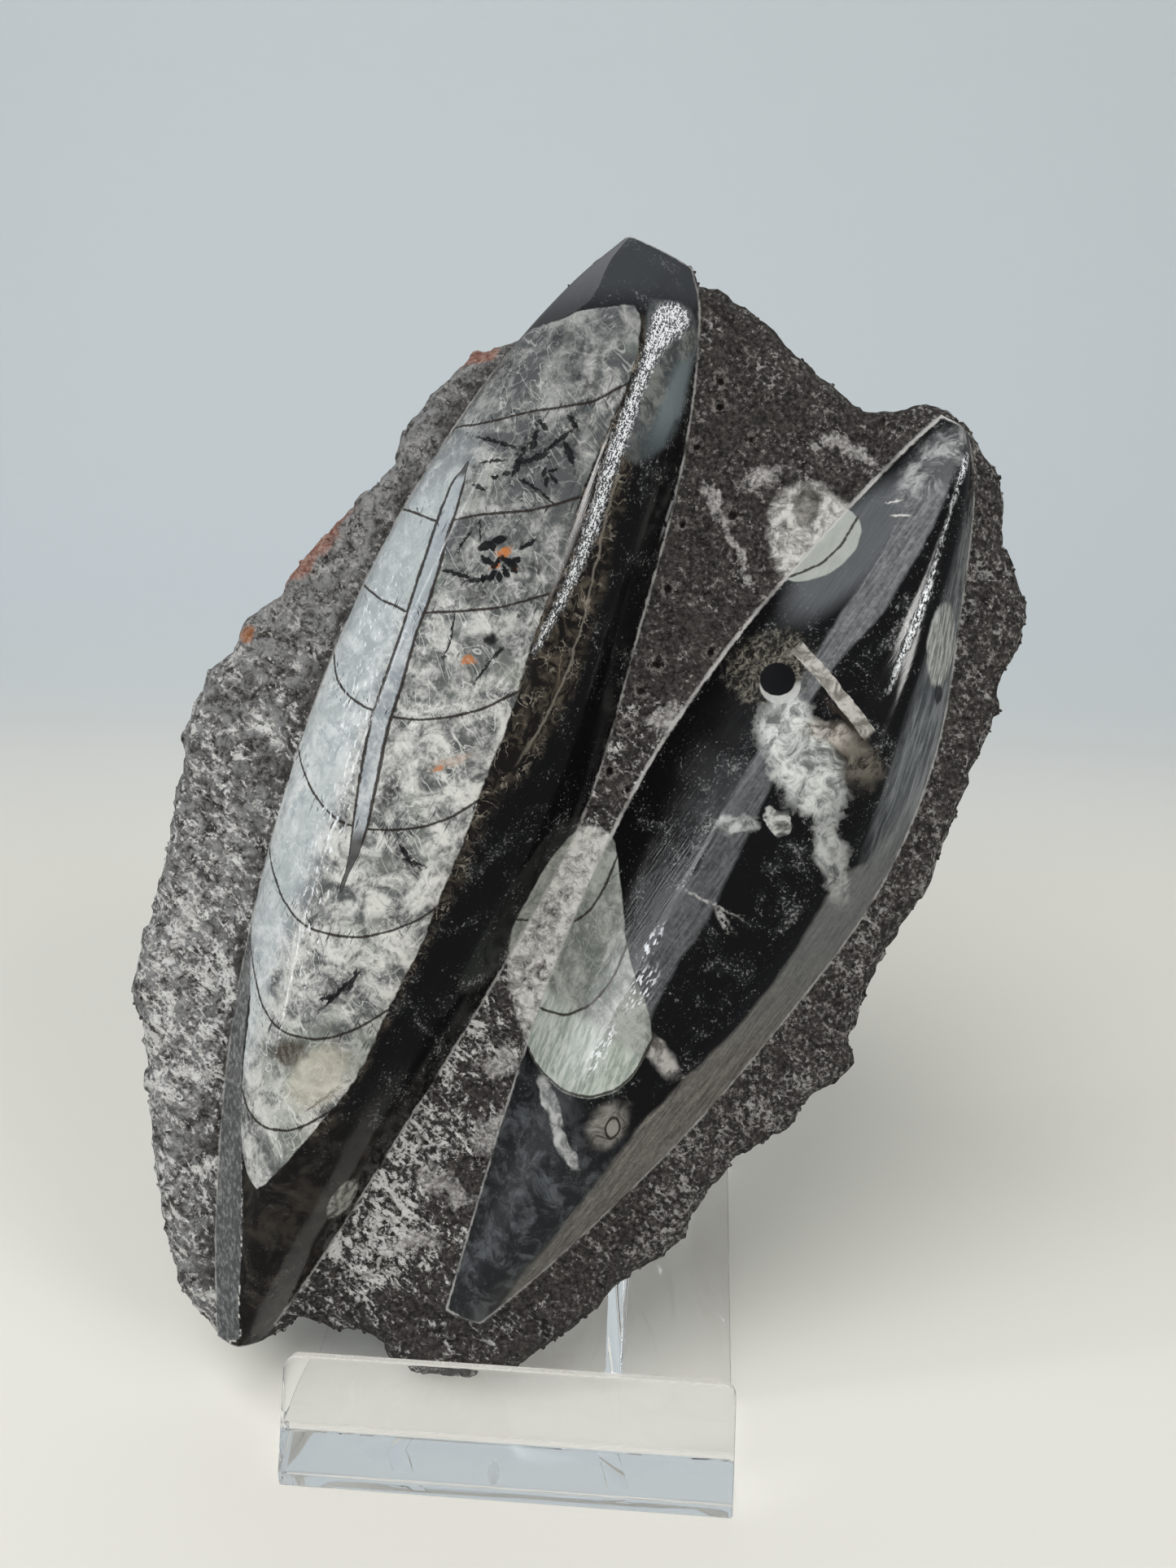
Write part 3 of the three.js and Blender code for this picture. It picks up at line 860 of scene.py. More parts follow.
# Outline of a painted highlight band of glints near the long ridge's upper right edge.
SHEEN_BAND = (
    (79.6, 166), (76.2, 155), (74.4, 148), (71.4, 139.5), (68.8, 131.5), (66.9, 125.5), (67.5, 125),
    (70.6, 131.5), (73.8, 139.5), (75.8, 148), (77.4, 155), (80.8, 166),
)
WHITE_EDGE = (
    (21.2, 102.8), (24.4, 103.6), (30, 113), (36.6, 124.2), (43.1, 133.7), (50.2, 143.6), (58, 152.5),
    (64, 159.6), (70, 166), (76.3, 172.2),
)


@dataclass(frozen=True)
class Oval:
    """A small mark: its middle, its half length and half width, and the turn of its length."""

    u: float
    v: float
    length: float
    width: float
    turn: float = 0.0


# The branching growth under the highest wall, the flower of black petals and the branches round it.
BRANCHES = (
    Oval(4.6, 164.5, 3.6, 0.3, -22), Oval(12.2, 166.8, 1.2, 0.4, -50), Oval(8.7, 161, 2.5, 0.5, 68),
    Oval(11.4, 161.4, 2.2, 0.5, 18), Oval(11, 164.4, 1.7, 0.5, 80), Oval(14.6, 163.9, 3, 0.35, 40),
    Oval(17, 167.2, 1.2, 0.3, -58), Oval(16.6, 162.3, 1.9, 0.45, -66), Oval(12.9, 159.2, 0.8, 0.32, 70),
    Oval(14.3, 159.4, 0.8, 0.3, 20), Oval(14.5, 158, 0.8, 0.3, -50), Oval(13.2, 157.5, 0.8, 0.32, 80),
    Oval(10.6, 157.1, 2.2, 0.25, -32), Oval(13.6, 154.9, 1.4, 0.2, -38), Oval(4.2, 161.2, 2.2, 0.2, 4),
    Oval(2.2, 157, 1.3, 0.35, -24), Oval(4.8, 158.5, 0.6, 0.4, 10), Oval(6.6, 159, 0.6, 0.4, 0),
    Oval(-0.8, 143, 2.6, 0.3, -16), Oval(2.8, 141.9, 1.6, 0.35, 4), Oval(0.4, 148.6, 1.9, 0.16, 55),
    Oval(2.8, 149.8, 1.6, 0.14, -80), Oval(10.6, 147.6, 1.4, 0.3, 28), Oval(-0.9, 134.6, 2.2, 0.16, 84),
    Oval(-1.5, 131.4, 1.6, 0.16, 70), Oval(6.4, 130.4, 1.3, 0.25, 45), Oval(4.4, 127.9, 2.2, 0.18, 56),
    Oval(-7.3, 98.2, 2, 0.3, -60), Oval(-6.2, 97, 1.6, 0.25, -20), Oval(-17.4, 76, 4.2, 0.3, 46),
    Oval(-15.6, 77.6, 2, 0.3, 70), Oval(-19.8, 74.4, 1.5, 0.3, 20), Oval(-21.2, 57, 2.6, 0.16, 40),
)
PETALS = (
    Oval(4, 147.4, 1.1, 0.6, 20), Oval(6.1, 148.3, 1.1, 0.5, 15), Oval(5.1, 147.2, 0.7, 0.45, -50),
    Oval(4.4, 144.9, 1.3, 0.42, -28), Oval(7.9, 144.8, 1.4, 0.45, -30), Oval(8.6, 143.9, 0.8, 0.4, -70),
    Oval(7.4, 143.2, 0.9, 0.4, -62), Oval(6.4, 142.4, 0.7, 0.4, -85), Oval(5.2, 142.7, 0.8, 0.42, 50),
    Oval(3.9, 142.2, 0.6, 0.4, 40), Oval(5.8, 144.6, 1, 0.35, 60), Oval(9, 145.2, 0.6, 0.4, 10),
)
# Soft grey smudges in the calcite.
SMUDGES = (
    Oval(4.5, 177.5, 4.6, 2.2, 40), Oval(17, 178, 3, 1.4, 60), Oval(18, 174, 3, 1.2, -30),
    Oval(13.5, 181, 2.4, 1.2, 80), Oval(10.4, 162.4, 4.4, 3, 60), Oval(16.4, 163, 2.6, 1.8, 0),
    Oval(3, 139.6, 3, 1.6, 20), Oval(11.6, 144, 2, 1.2, 0), Oval(-10.2, 108.4, 5.6, 2, 74),
    Oval(-6.8, 97.6, 3, 2.2, -50), Oval(-9.6, 87.4, 3, 1.6, 10), Oval(-17.6, 76.4, 4.6, 2.4, 44),
    Oval(-30, 76, 2.4, 1.2, 60), Oval(5.2, 132.5, 1.8, 1.3, 0),
)
ORANGE_SPOTS = (
    Oval(6.9, 146.2, 1.2, 0.9, 40), Oval(5.6, 144.2, 0.7, 0.5, 60), Oval(8.9, 143.8, 0.5, 0.3, 0),
    Oval(1.9, 129.3, 1.2, 0.75, 20), Oval(-2.4, 111.9, 0.75, 0.55, 0),
)
# Short pale scars, and painted highlights as bright dashes, on the long ridge.
SCARS = (Oval(68.6, 157.2, 1.1, 0.18, 4), Oval(69.4, 154.7, 1.3, 0.22, -8))
GLINT_MARKS = (Oval(32.2, 85.3, 3.2, 0.8, 62), Oval(30.6, 77.8, 4, 1.8, 60), Oval(24.4, 66.9, 5, 1.1, 62))
# White streaks and bruises on the hammered face.
PALE_STREAKS = (
    Oval(43.6, 150, 7.2, 0.8, -61), Oval(33, 121.5, 3.6, 2.2, 40), Oval(35.6, 117, 2.6, 1.6, 0),
    Oval(39.5, 158, 4.2, 0.9, -70), Oval(-49, 84, 6, 1.4, 70), Oval(6, 50, 5, 2.6, 50),
    Oval(-2, 40, 6, 2.4, -30), Oval(6.6, 62, 4, 2.4, 60), Oval(-8, 30, 6, 1.8, 10),
    Oval(4, 28, 3, 1.6, 40), Oval(48, 162, 4, 2.2, 20), Oval(62, 166, 5, 1.4, -20),
)


@dataclass(frozen=True)
class Markings:
    """Distances to the fossils' and facets' outlines, which the finishes read from the mesh."""

    shell_axis: tuple[float, float] = (0.336, 0.942)
    cone_axis: tuple[float, float] = (0.0, 1.0)
    upper_axis: tuple[float, float] = (-0.5, 0.866)
    wall_spacing: float = 15.0

    def chambers(self, flat: np.ndarray, walls: tuple, axis: tuple) -> tuple[np.ndarray, np.ndarray]:
        """A shell's chamber numbers, whole on its walls.

        Args:
            flat: u, v rows.
            walls: each wall's points, the lowest first.
            axis: the direction along the shell.

        Returns:
            The numbers, and the millimetres from wall to wall, square to them.
        """
        along = np.array(axis)
        across = np.array([axis[1], -axis[0]])
        rise, side = flat @ along, flat @ across
        levels, slopes = [], []
        for wall in walls:
            line = np.array(wall)
            a, b = line @ along, line @ across
            order = np.argsort(b)
            a, b = a[order], b[order]
            first, last = (a[1] - a[0]) / (b[1] - b[0]), (a[-1] - a[-2]) / (b[-1] - b[-2])
            a = np.concatenate([[a[0] - 6 * first], a, [a[-1] + 6 * last]])
            b = np.concatenate([[b[0] - 6], b, [b[-1] + 6]])
            fine = np.linspace(b[0], b[-1], 200)
            trail = np.convolve(np.pad(np.interp(fine, b, a), 5, mode="edge"), np.ones(11) / 11, "valid")
            levels.append(np.interp(side, fine, trail))
            slopes.append(np.interp(side, fine, np.gradient(trail, fine)))
        beyond = 0.45 * self.wall_spacing
        number = np.clip(rise - levels[0], -beyond, 0) / self.wall_spacing
        number += np.clip(rise - levels[-1], 0, beyond) / self.wall_spacing
        spacing = np.full(len(flat), self.wall_spacing)
        slope = slopes[0].copy()
        for low, high, steep in zip(levels, levels[1:], slopes[1:]):
            gap = np.maximum(high - low, 3)
            share = np.clip((rise - low) / gap, 0, 1)
            number += share
            spacing = np.where((share > 0) & (share < 1), gap, spacing)
            slope = np.where(share > 0.5, steep, slope)
        return number, spacing / np.sqrt(1 + slope**2)

    def siphon(self, flat: np.ndarray) -> np.ndarray:
        """0 on the middle of the long shell's siphon and 1 on its walls."""
        along = np.array(self.shell_axis)
        across = np.array([along[1], -along[0]])
        rise, side = flat @ along, flat @ across
        left, right = (np.array(line) for line in (SIPHON_LEFT, SIPHON_RIGHT))
        low = np.interp(rise, left @ along, left @ across)
        high = np.interp(rise, right @ along, right @ across)
        half = np.maximum((high - low) / 2, 0.35)
        ends = (left @ along)[[0, -1]]
        beyond = np.maximum(ends[0] - rise, 0) + np.maximum(rise - ends[1], 0)
        return np.abs(side - (low + high) / 2) / half + beyond

    def values(self, points: np.ndarray) -> dict[str, np.ndarray]:
        """Every marking's values.

        Args:
            points: the stone's points, u, v, w.

        Returns:
            One value for each point, by the marking's name. Distances are in millimetres, above zero
            inside an outline.
        """
        flat = points[:, :2]
        found = {}
        outlines = {
            "shell": LONG_SHELL, "lower_shell": LOWER_SHELL, "upper_shell": UPPER_SHELL,
            "painted_glint_band": PAINTED_GLINT_BAND, "brown_veil": BROWN_VEIL, "left_facet": LEFT_FACET,
            "tip_facet": TIP_FACET, "crown_band": CROWN_BAND, "brown_flank": BROWN_FLANK,
            "sheen_band": SHEEN_BAND, "shoulder_sheen": SHEEN_SHOULDER,
        }
        for label, outline in outlines.items():
            loop = Spline(outline, closed=True).spaced(4 * len(outline))
            found[label] = depth_in(flat, loop)
        found["chamber"], found["wall_gap"] = self.chambers(flat, LONG_SHELL_WALLS, self.shell_axis)
        lower = self.chambers(flat, LOWER_SHELL_WALLS, self.cone_axis)
        upper = self.chambers(flat, UPPER_SHELL_WALLS, self.upper_axis)
        nearer = found["lower_shell"] > found["upper_shell"]
        found["small_chamber"] = np.where(nearer, lower[0], upper[0])
        found["small_gap"] = np.where(nearer, lower[1], upper[1])
        found["siphon"] = self.siphon(flat)
        edge = TALL_RIDGE.edge_line("left", np.linspace(0, 1, 60))
        found["left_side"] = np.interp(flat[:, 1], edge[:, 1], edge[:, 0]) - flat[:, 0]
        found["white_edge"] = gap_to(flat, Spline(WHITE_EDGE).spaced(60), closed=False)
        rings = [ridge.grid()[0].reshape(-1, 3)[ridge.ring(), :2] for ridge in (TALL_RIDGE, LONG_RIDGE)]
        found["ridge_edge"] = np.min([gap_to(flat, ring[::2]) for ring in rings], axis=0)
        pits = [np.hypot(flat[:, 0] - pit.u, flat[:, 1] - pit.v) / pit.radius for pit in PITS]
        found["pit"] = np.min(pits, axis=0)
        return found


class Value:
    """A number that changes over a surface. Sums with it add Math nodes."""

    def __init__(self, sheet: NodeSheet, socket: Socket) -> None:
        """Wrap a socket of a sheet."""
        self.sheet = sheet
        self.socket = socket

    def math(self, operation: str, *values: Value | float) -> Value:
        """The result of a Math node with these inputs, in order."""
        node = self.sheet.node("ShaderNodeMath", {"operation": operation}, dict(enumerate(values)))
        return Value(self.sheet, node.outputs[0])

    def __add__(self, other: Value | float) -> Value:
        """Self + other."""
        return self.math("ADD", self, other)

    def __radd__(self, other: float) -> Value:
        """Other + self."""
        return self.math("ADD", other, self)

    def __sub__(self, other: Value | float) -> Value:
        """Self - other."""
        return self.math("SUBTRACT", self, other)

    def __rsub__(self, other: float) -> Value:
        """Other - self."""
        return self.math("SUBTRACT", other, self)

    def __mul__(self, other: Value | float) -> Value:
        """Self * other."""
        return self.math("MULTIPLY", self, other)

    def __rmul__(self, other: float) -> Value:
        """Other * self."""
        return self.math("MULTIPLY", other, self)

    def __abs__(self) -> Value:
        """The size without its sign."""
        return self.math("ABSOLUTE", self)

    def least(self, other: Value | float) -> Value:
        """The smaller of two."""
        return self.math("MINIMUM", self, other)

    def most(self, other: Value | float) -> Value:
        """The larger of two."""
        return self.math("MAXIMUM", self, other)

    def off_whole(self) -> Value:
        """The distance to the nearest whole number."""
        return abs(self - self.math("ROUND", self))

    def line(self, outer: float, inner: float) -> Value:
        """A noise's middle as a line: 1 within inner of it and 0 beyond outer."""
        return abs(self - 0.5).fade(outer, inner)

    def fade(self, low: float, high: float) -> Value:
        """A soft step between two values.

        Args:
            low: where the result is 0.
            high: where it is 1, which may be the smaller of the two.

        Returns:
            The step.
        """
        turned = high < low
        ends = (high, low) if turned else (low, high)
        inputs = {"Value": self, "From Min": ends[0], "From Max": ends[1]}
        inputs |= {"To Min": float(turned), "To Max": float(not turned)}
        settings = {"interpolation_type": "SMOOTHSTEP", "clamp": True}
        return Value(self.sheet, self.sheet.node("ShaderNodeMapRange", settings, inputs).outputs["Result"])


class Coat:
    """A colour that is built up on a sheet, layer by layer."""

    def __init__(self, sheet: NodeSheet, ground: Paint) -> None:
        """Start with a ground."""
        self.sheet = sheet
        self.colour = sheet.paint(ground)

    def lay(self, over: Paint, share: Value | float) -> Coat:
        """Lay a paint over what is there, by the share of it that shows, and give the coat back."""
        self.colour = self.sheet.blend(self.colour, over, share)
        return self


# A colour, a socket, a coat, or two paints and the share of the second.
Paint = Colour | Socket | Coat | tuple


def add_node(
    tree: bpy.types.NodeTree, kind: str, settings: dict | None = None, inputs: dict | None = None
) -> bpy.types.Node:
    """Add a node to a tree.

    Args:
        tree: the tree.
        kind: the node's type.
        settings: its properties, set first.
        inputs: values, links or Values by socket name or number.

    Returns:
        The node.
    """
    made = tree.nodes.new(kind)
    for label, setting in (settings or {}).items():
        setattr(made, label, setting)
    for label, value in (inputs or {}).items():
        source = value.socket if isinstance(value, Value) else value
        if isinstance(source, Socket):
            tree.links.new(source, made.inputs[label])
        elif isinstance(source, tuple) and made.inputs[label].type == "RGBA":
            made.inputs[label].default_value = (*source, 1.0)
        else:
            made.inputs[label].default_value = source
    return made


class NodeSheet:
    """A material's nodes, with patterns measured in millimetres in the slab's own frame."""

    name: str = "sheet"
    reach: float = 4.0
    endless: float = 1e6

    def __init__(self) -> None:
        """Start an empty material."""
        self.material = bpy.data.materials.new(self.name)
        self.material.use_nodes = True
        self.tree = self.material.node_tree
        self.tree.nodes.clear()
        self.point = self.node("ShaderNodeTexCoord").outputs["Object"]
        shift = SLAB.turn.inverted() @ Vector(SLAB.place)
        inputs = {"Vector": self.point, "Location": tuple(-shift), "Scale": (1 / MM,) * 3}
        inputs["Rotation"] = (math.radians(SLAB.lean - 90), 0.0, 0.0)
        self.place = self.node("ShaderNodeMapping", {"vector_type": "POINT"}, inputs).outputs[0]

    def node(self, kind: str, settings: dict | None = None, inputs: dict | None = None) -> bpy.types.Node:
        """Add a node, as add_node does."""
        return add_node(self.tree, kind, settings, inputs)

    def attribute(self, label: str) -> Value:
        """A marking kept on the mesh."""
        made = self.node("ShaderNodeAttribute", {"attribute_type": "GEOMETRY", "attribute_name": label})
        return Value(self, made.outputs["Fac"])

    def axis(self, label: str, point: Socket | None = None) -> Value:
        """X, Y or Z of a point, or else of the slab's point, where they are u, v and w."""
        return Value(self, self.node("ShaderNodeSeparateXYZ", None, {0: point or self.place}).outputs[label])

    @property
    def across(self) -> Value:
        """The slab's u."""
        return self.axis("X")

    @property
    def along(self) -> Value:
        """The slab's v."""
        return self.axis("Y")

    def mapped(self, place: Socket, middle: tuple, turn: float, scale: tuple) -> Socket:
        """A point on a net with another middle, turned by degrees about w and scaled."""
        inputs = {"Vector": place, "Location": middle, "Scale": scale}
        inputs["Rotation"] = (0.0, 0.0, math.radians(turn))
        return self.node("ShaderNodeMapping", {"vector_type": "TEXTURE"}, inputs).outputs[0]

    def noise(
        self, size: float, detail: float = 3.0, bend: float = 0.0, seed: float = 0.0,
        rough: float = 0.5, place: Socket | None = None,
    ) -> Value:
        """Cloudy noise.

        Args:
            size: the millimetres that one cloud spans.
            detail: how many finer sizes are added.
            bend: its distortion.
            seed: picks another pattern.
            rough: the strength of each finer size.
            place: the point, or else the slab's.

        Returns:
            Values about 0.5, mostly from 0.25 to 0.75.
        """
        inputs = {"Vector": place or self.place, "W": seed, "Scale": 1 / size, "Detail": detail}
        inputs |= {"Distortion": bend, "Roughness": rough}
        made = self.node("ShaderNodeTexNoise", {"noise_dimensions": "4D"}, inputs)
        return Value(self, made.outputs["Fac"])

    def streaks(self, stretch: tuple, turn: float, *noise: float) -> Value:
        """Noise on a stretched and turned net, with its detail, bend, seed and roughness."""
        return self.noise(1, *noise, place=self.mapped(self.place, (0.0, 0.0, 0.0), turn, stretch))

    def shaken(self, label: str, shake: float, *noise: float) -> Value:
        """A marking's distance made ragged by noise of this strength, both in millimetres."""
        return self.attribute(label) + shake * (self.noise(*noise) - 0.5)

    def warped(self, amount: float, size: float, seed: float = 0.0) -> Socket:
        """The slab's point, shaken by noise.

        Args:
            amount: how far, in millimetres.
            size: the noise's size.
            seed: picks another pattern.

        Returns:
            The new point.
        """
        inputs = {"Vector": self.place, "W": seed, "Scale": 1 / size, "Detail": 2.0}
        shake = self.node("ShaderNodeTexNoise", {"noise_dimensions": "4D"}, inputs).outputs["Color"]
        inputs = {0: shake, 1: (0.5, 0.5, 0.5)}
        centred = self.node("ShaderNodeVectorMath", {"operation": "SUBTRACT"}, inputs)
        inputs = {0: centred.outputs[0], 1: (2 * amount, 2 * amount, 0.0), 2: self.place}
        return self.node("ShaderNodeVectorMath", {"operation": "MULTIPLY_ADD"}, inputs).outputs[0]

    def cells(self, size: float, place: Socket, feature: str = "DISTANCE_TO_EDGE") -> Value:
        """Cells of stone: the distance, in cell widths, to their edges or, for F1, their middles."""
        made = self.node("ShaderNodeTexVoronoi", {"feature": feature}, {"Vector": place, "Scale": 1 / size})
        return Value(self, made.outputs["Distance"])

    def near(self, place: Socket, *ovals: Oval) -> Value:
        """The distance to the nearest of some ovals, 1 on its outline.

        Args:
            place: the point.
            ovals: the ovals.

        Returns:
            The distance in radii, up to reach.
        """
        found = None
        for one in ovals:
            scale = (self.reach * one.length, self.reach * one.width, self.endless)
            laid = self.mapped(place, (one.u, one.v, 0.0), one.turn, scale)
            ball = self.node("ShaderNodeTexGradient", {"gradient_type": "SPHERICAL"}, {0: laid})
            away = self.reach * (1 - Value(self, ball.outputs["Fac"]))
            found = away if found is None else found.least(away)
        return found

    def bar(self, place: Socket, mark: Oval) -> Value:
        """The distance to a straight bar's middle, 1 on its outline."""
        laid = self.mapped(place, (mark.u, mark.v, 0.0), mark.turn, (mark.length, mark.width, self.endless))
        return abs(self.axis("X", laid)).most(abs(self.axis("Y", laid)))

    def paint(self, colour: Paint) -> Colour | Socket:
        """A paint as one colour or socket."""
        if isinstance(colour, Coat):
            return colour.colour
        mixed = isinstance(colour, tuple) and not isinstance(colour[0], float)
        return self.blend(*colour) if mixed else colour

    def blend(self, under: Paint, over: Paint, share: Value | float) -> Socket:
        """Lay one paint over another, by the share of it that shows."""
        inputs = {0: share, 6: self.paint(under), 7: self.paint(over)}
        return self.node("ShaderNodeMix", {"data_type": "RGBA"}, inputs).outputs[2]

    def bump(self, height: Value, depth: float, under: Socket | None = None) -> Socket:
        """Raise a normal, or the one under it, by a height from 0 to 1 and its depth in millimetres."""
        inputs = {"Height": height, "Distance": depth * MM, "Strength": 1.0}
        if under:
            inputs["Normal"] = under
        return self.node("ShaderNodeBump", None, inputs).outputs[0]

    def finish(
        self, colour: Paint, roughness: Value | float, normal: Socket | None = None, **plain: float
    ) -> bpy.types.Material:
        """End with a shader.

        Args:
            colour: the base colour.
            roughness: its roughness.
            normal: its normal, if it is bumped.
            plain: the shader's other inputs, spaces written as underscores.

        Returns:
            The material.
        """
        inputs = {"Base Color": self.paint(colour), "Roughness": roughness}
        if normal:
            inputs["Normal"] = normal
        inputs.update({label.replace("_", " "): value for label, value in plain.items()})
        shader = self.node("ShaderNodeBsdfPrincipled", None, inputs)
        self.node("ShaderNodeOutputMaterial", None, {"Surface": shader.outputs[0]})
        return self.material


@dataclass(frozen=True)
class StoneColours:
    """The limestone's and the fossils' colours, as linear red, green and blue."""

    white: Colour = (0.6, 0.595, 0.56)
    grey: Colour = (0.085, 0.09, 0.089)
    green_grey: Colour = (0.2, 0.225, 0.19)
    smudge: Colour = (0.03, 0.03, 0.032)
    ink: Colour = (0.006, 0.006, 0.007)
    wall: Colour = (0.02, 0.014, 0.011)
    siphon: Colour = (0.4, 0.44, 0.48)
    black: Colour = (0.004, 0.0039, 0.0042)
    salt: Colour = (0.25, 0.25, 0.24)
    brown: Colour = (0.09, 0.074, 0.055)
    orange: Colour = (0.46, 0.15, 0.03)
    rust: Colour = (0.17, 0.052, 0.036)
    # Painted highlight: the colour of the bright glints laid on the polished ridges.
    painted_glint: Colour = (0.9, 0.92, 0.94)
    pale: Colour = (0.42, 0.41, 0.39)
    bruise: Colour = (0.62, 0.6, 0.57)


COLOURS = StoneColours()


class StoneFinish(NodeSheet):
    """What the stone's finishes share."""

    wall_width: float = 0.42
    polish_ior: float = 1.47

    def calcite(self) -> Coat:
        """Cloudy calcite, greyer towards the shell's wide end, with healed cracks and short hairs."""
        clouds = self.noise(6.5, 8, 1.5, 1, 0.62)
        fuzz = self.noise(1.3, 5, 0.9, 2, 0.7)
        far = self.along.fade(114, 162)
        thick = 0.7 * clouds + 0.3 * fuzz - 0.035 * far
        coat = Coat(self, (COLOURS.grey, COLOURS.white, thick.fade(0.4, 0.6)))
        coat.lay((0.065, 0.07, 0.073), 0.42 * far + 0.14 * self.along.fade(160, 180))
        coat.lay(COLOURS.green_grey, 0.5 * self.noise(11, 3, 0.5, 3).fade(0.52, 0.66))
        coat.lay(COLOURS.smudge, 0.62 * self.noise(3.8, 7, 2.0, 4, 0.7).fade(0.56, 0.68))
        veins = self.streaks((2.2, 7.0, 3.0), 34, 1.5, 0.4, 5).line(0.016, 0.003)
        veins = veins * self.noise(8, 1, 0, 6).fade(0.42, 0.56)
        fine = self.streaks((1.6, 4.5, 2.0), -38, 1.5, 0.5, 7).line(0.018, 0.004)
        fine = fine * self.noise(6, 1, 0, 8).fade(0.46, 0.6)
        split = self.cells(5.2, self.warped(0.8, 2.0, 19)).fade(0.03, 0.006)
        split = split * self.noise(7, 2, 0, 20).fade(0.46, 0.58)
        healed = (0.6 * veins).most(0.45 * fine).most(0.28 * split)
        coat.lay((0.72, 0.72, 0.68), (1 - 0.45 * far) * healed)
        clusters = self.noise(7, 3, 0.8, 9).fade(0.48, 0.64)
        return coat.lay(COLOURS.smudge, 0.7 * self.hairs() * clusters)

    def hairs(self) -> Value:
        """Short dark hairs, most of them along the shell."""
        along = self.streaks((0.4, 3.0, 1.5), -24, 1, 0.4, 10).fade(0.62, 0.7)
        return along.most(self.streaks((0.38, 2.4, 1.5), 26, 1, 0.4, 11).fade(0.66, 0.72))

    def black(self) -> Coat:
        """Polished black limestone, salted with fine pale flecks in drifts."""
        drifts = self.noise(7, 6, 0.8, 12, 0.64)
        flecks = (self.noise(0.5, 4, 0, 13, 0.72) + (0.7 * (drifts - 0.5) + 0.03)).fade(0.62, 0.72)
        coat = Coat(self, (COLOURS.black, (0.017, 0.018, 0.019), drifts.fade(0.5, 0.7)))
        return coat.lay(COLOURS.salt, 0.66 * flecks)

    def walls(self, chamber: str, gap: str) -> Value:
        """A shell's chamber walls, as thin burred lines."""
        away = self.attribute(chamber).off_whole() * self.attribute(gap)
        burr = 0.6 * (self.noise(0.8, 4, 0, 14, 0.7) - 0.5)
        return (away + burr).fade(0.5 * self.wall_width + 0.1, 0.5 * self.wall_width - 0.1)

    def shell(self, label: str, wobble: float = 0.5) -> Value:
        """1 inside a shell's outline, with a slightly ragged edge."""
        return self.shaken(label, wobble, 1.6, 3, 0, 15).fade(-0.15, 0.15)

    def small_shells(self, coat: Coat, calcite: Coat) -> None:
        """Lay the two smaller shells, in darker calcite, green in the lowest chamber."""
        calcite = Coat(self, (calcite, (0.16, 0.18, 0.15), 0.6))
        last = self.along + 0.5 * (self.across - 20)
        streaks = self.streaks((0.8, 4.0, 1.0), -20, 4, 0.6, 16, 0.66)
        green = ((0.24, 0.28, 0.24), (0.5, 0.53, 0.48), streaks.fade(0.38, 0.62))
        pale = self.paint((calcite, green, 0.85 * last.fade(73.5, 70.5)))
        closed = self.attribute("small_chamber").fade(-0.03, -0.01)
        coat.lay(pale, self.shell("lower_shell") * closed)
        upper = self.paint((calcite, ((0.32, 0.34, 0.31), (0.5, 0.52, 0.48), streaks), 0.75))
        coat.lay(upper, self.shell("upper_shell"))
        inside = self.attribute("lower_shell").most(self.attribute("upper_shell")).fade(-0.5, 0.1)
        coat.lay(COLOURS.wall, 0.9 * self.walls("small_chamber", "small_gap") * inside)

    def worn_edge(self, coat: Coat) -> None:
        """Lay pale bruises along the ridge's borders, widest along the long ridge's left one."""
        away = self.shaken("ridge_edge", 0.9, 1.2, 5, 0.4, 17, 0.7)
        worn = self.noise(6, 3, 0, 18).fade(0.36, 0.56)
        white = self.attribute("white_edge").fade(3.0, 1.5)
        coat.lay(COLOURS.bruise, 0.8 * away.fade(0.5, 0.1) * white * (0.45 + 0.55 * worn))
        coat.lay(COLOURS.pale, 0.8 * away.fade(0.3, 0.05) * worn)


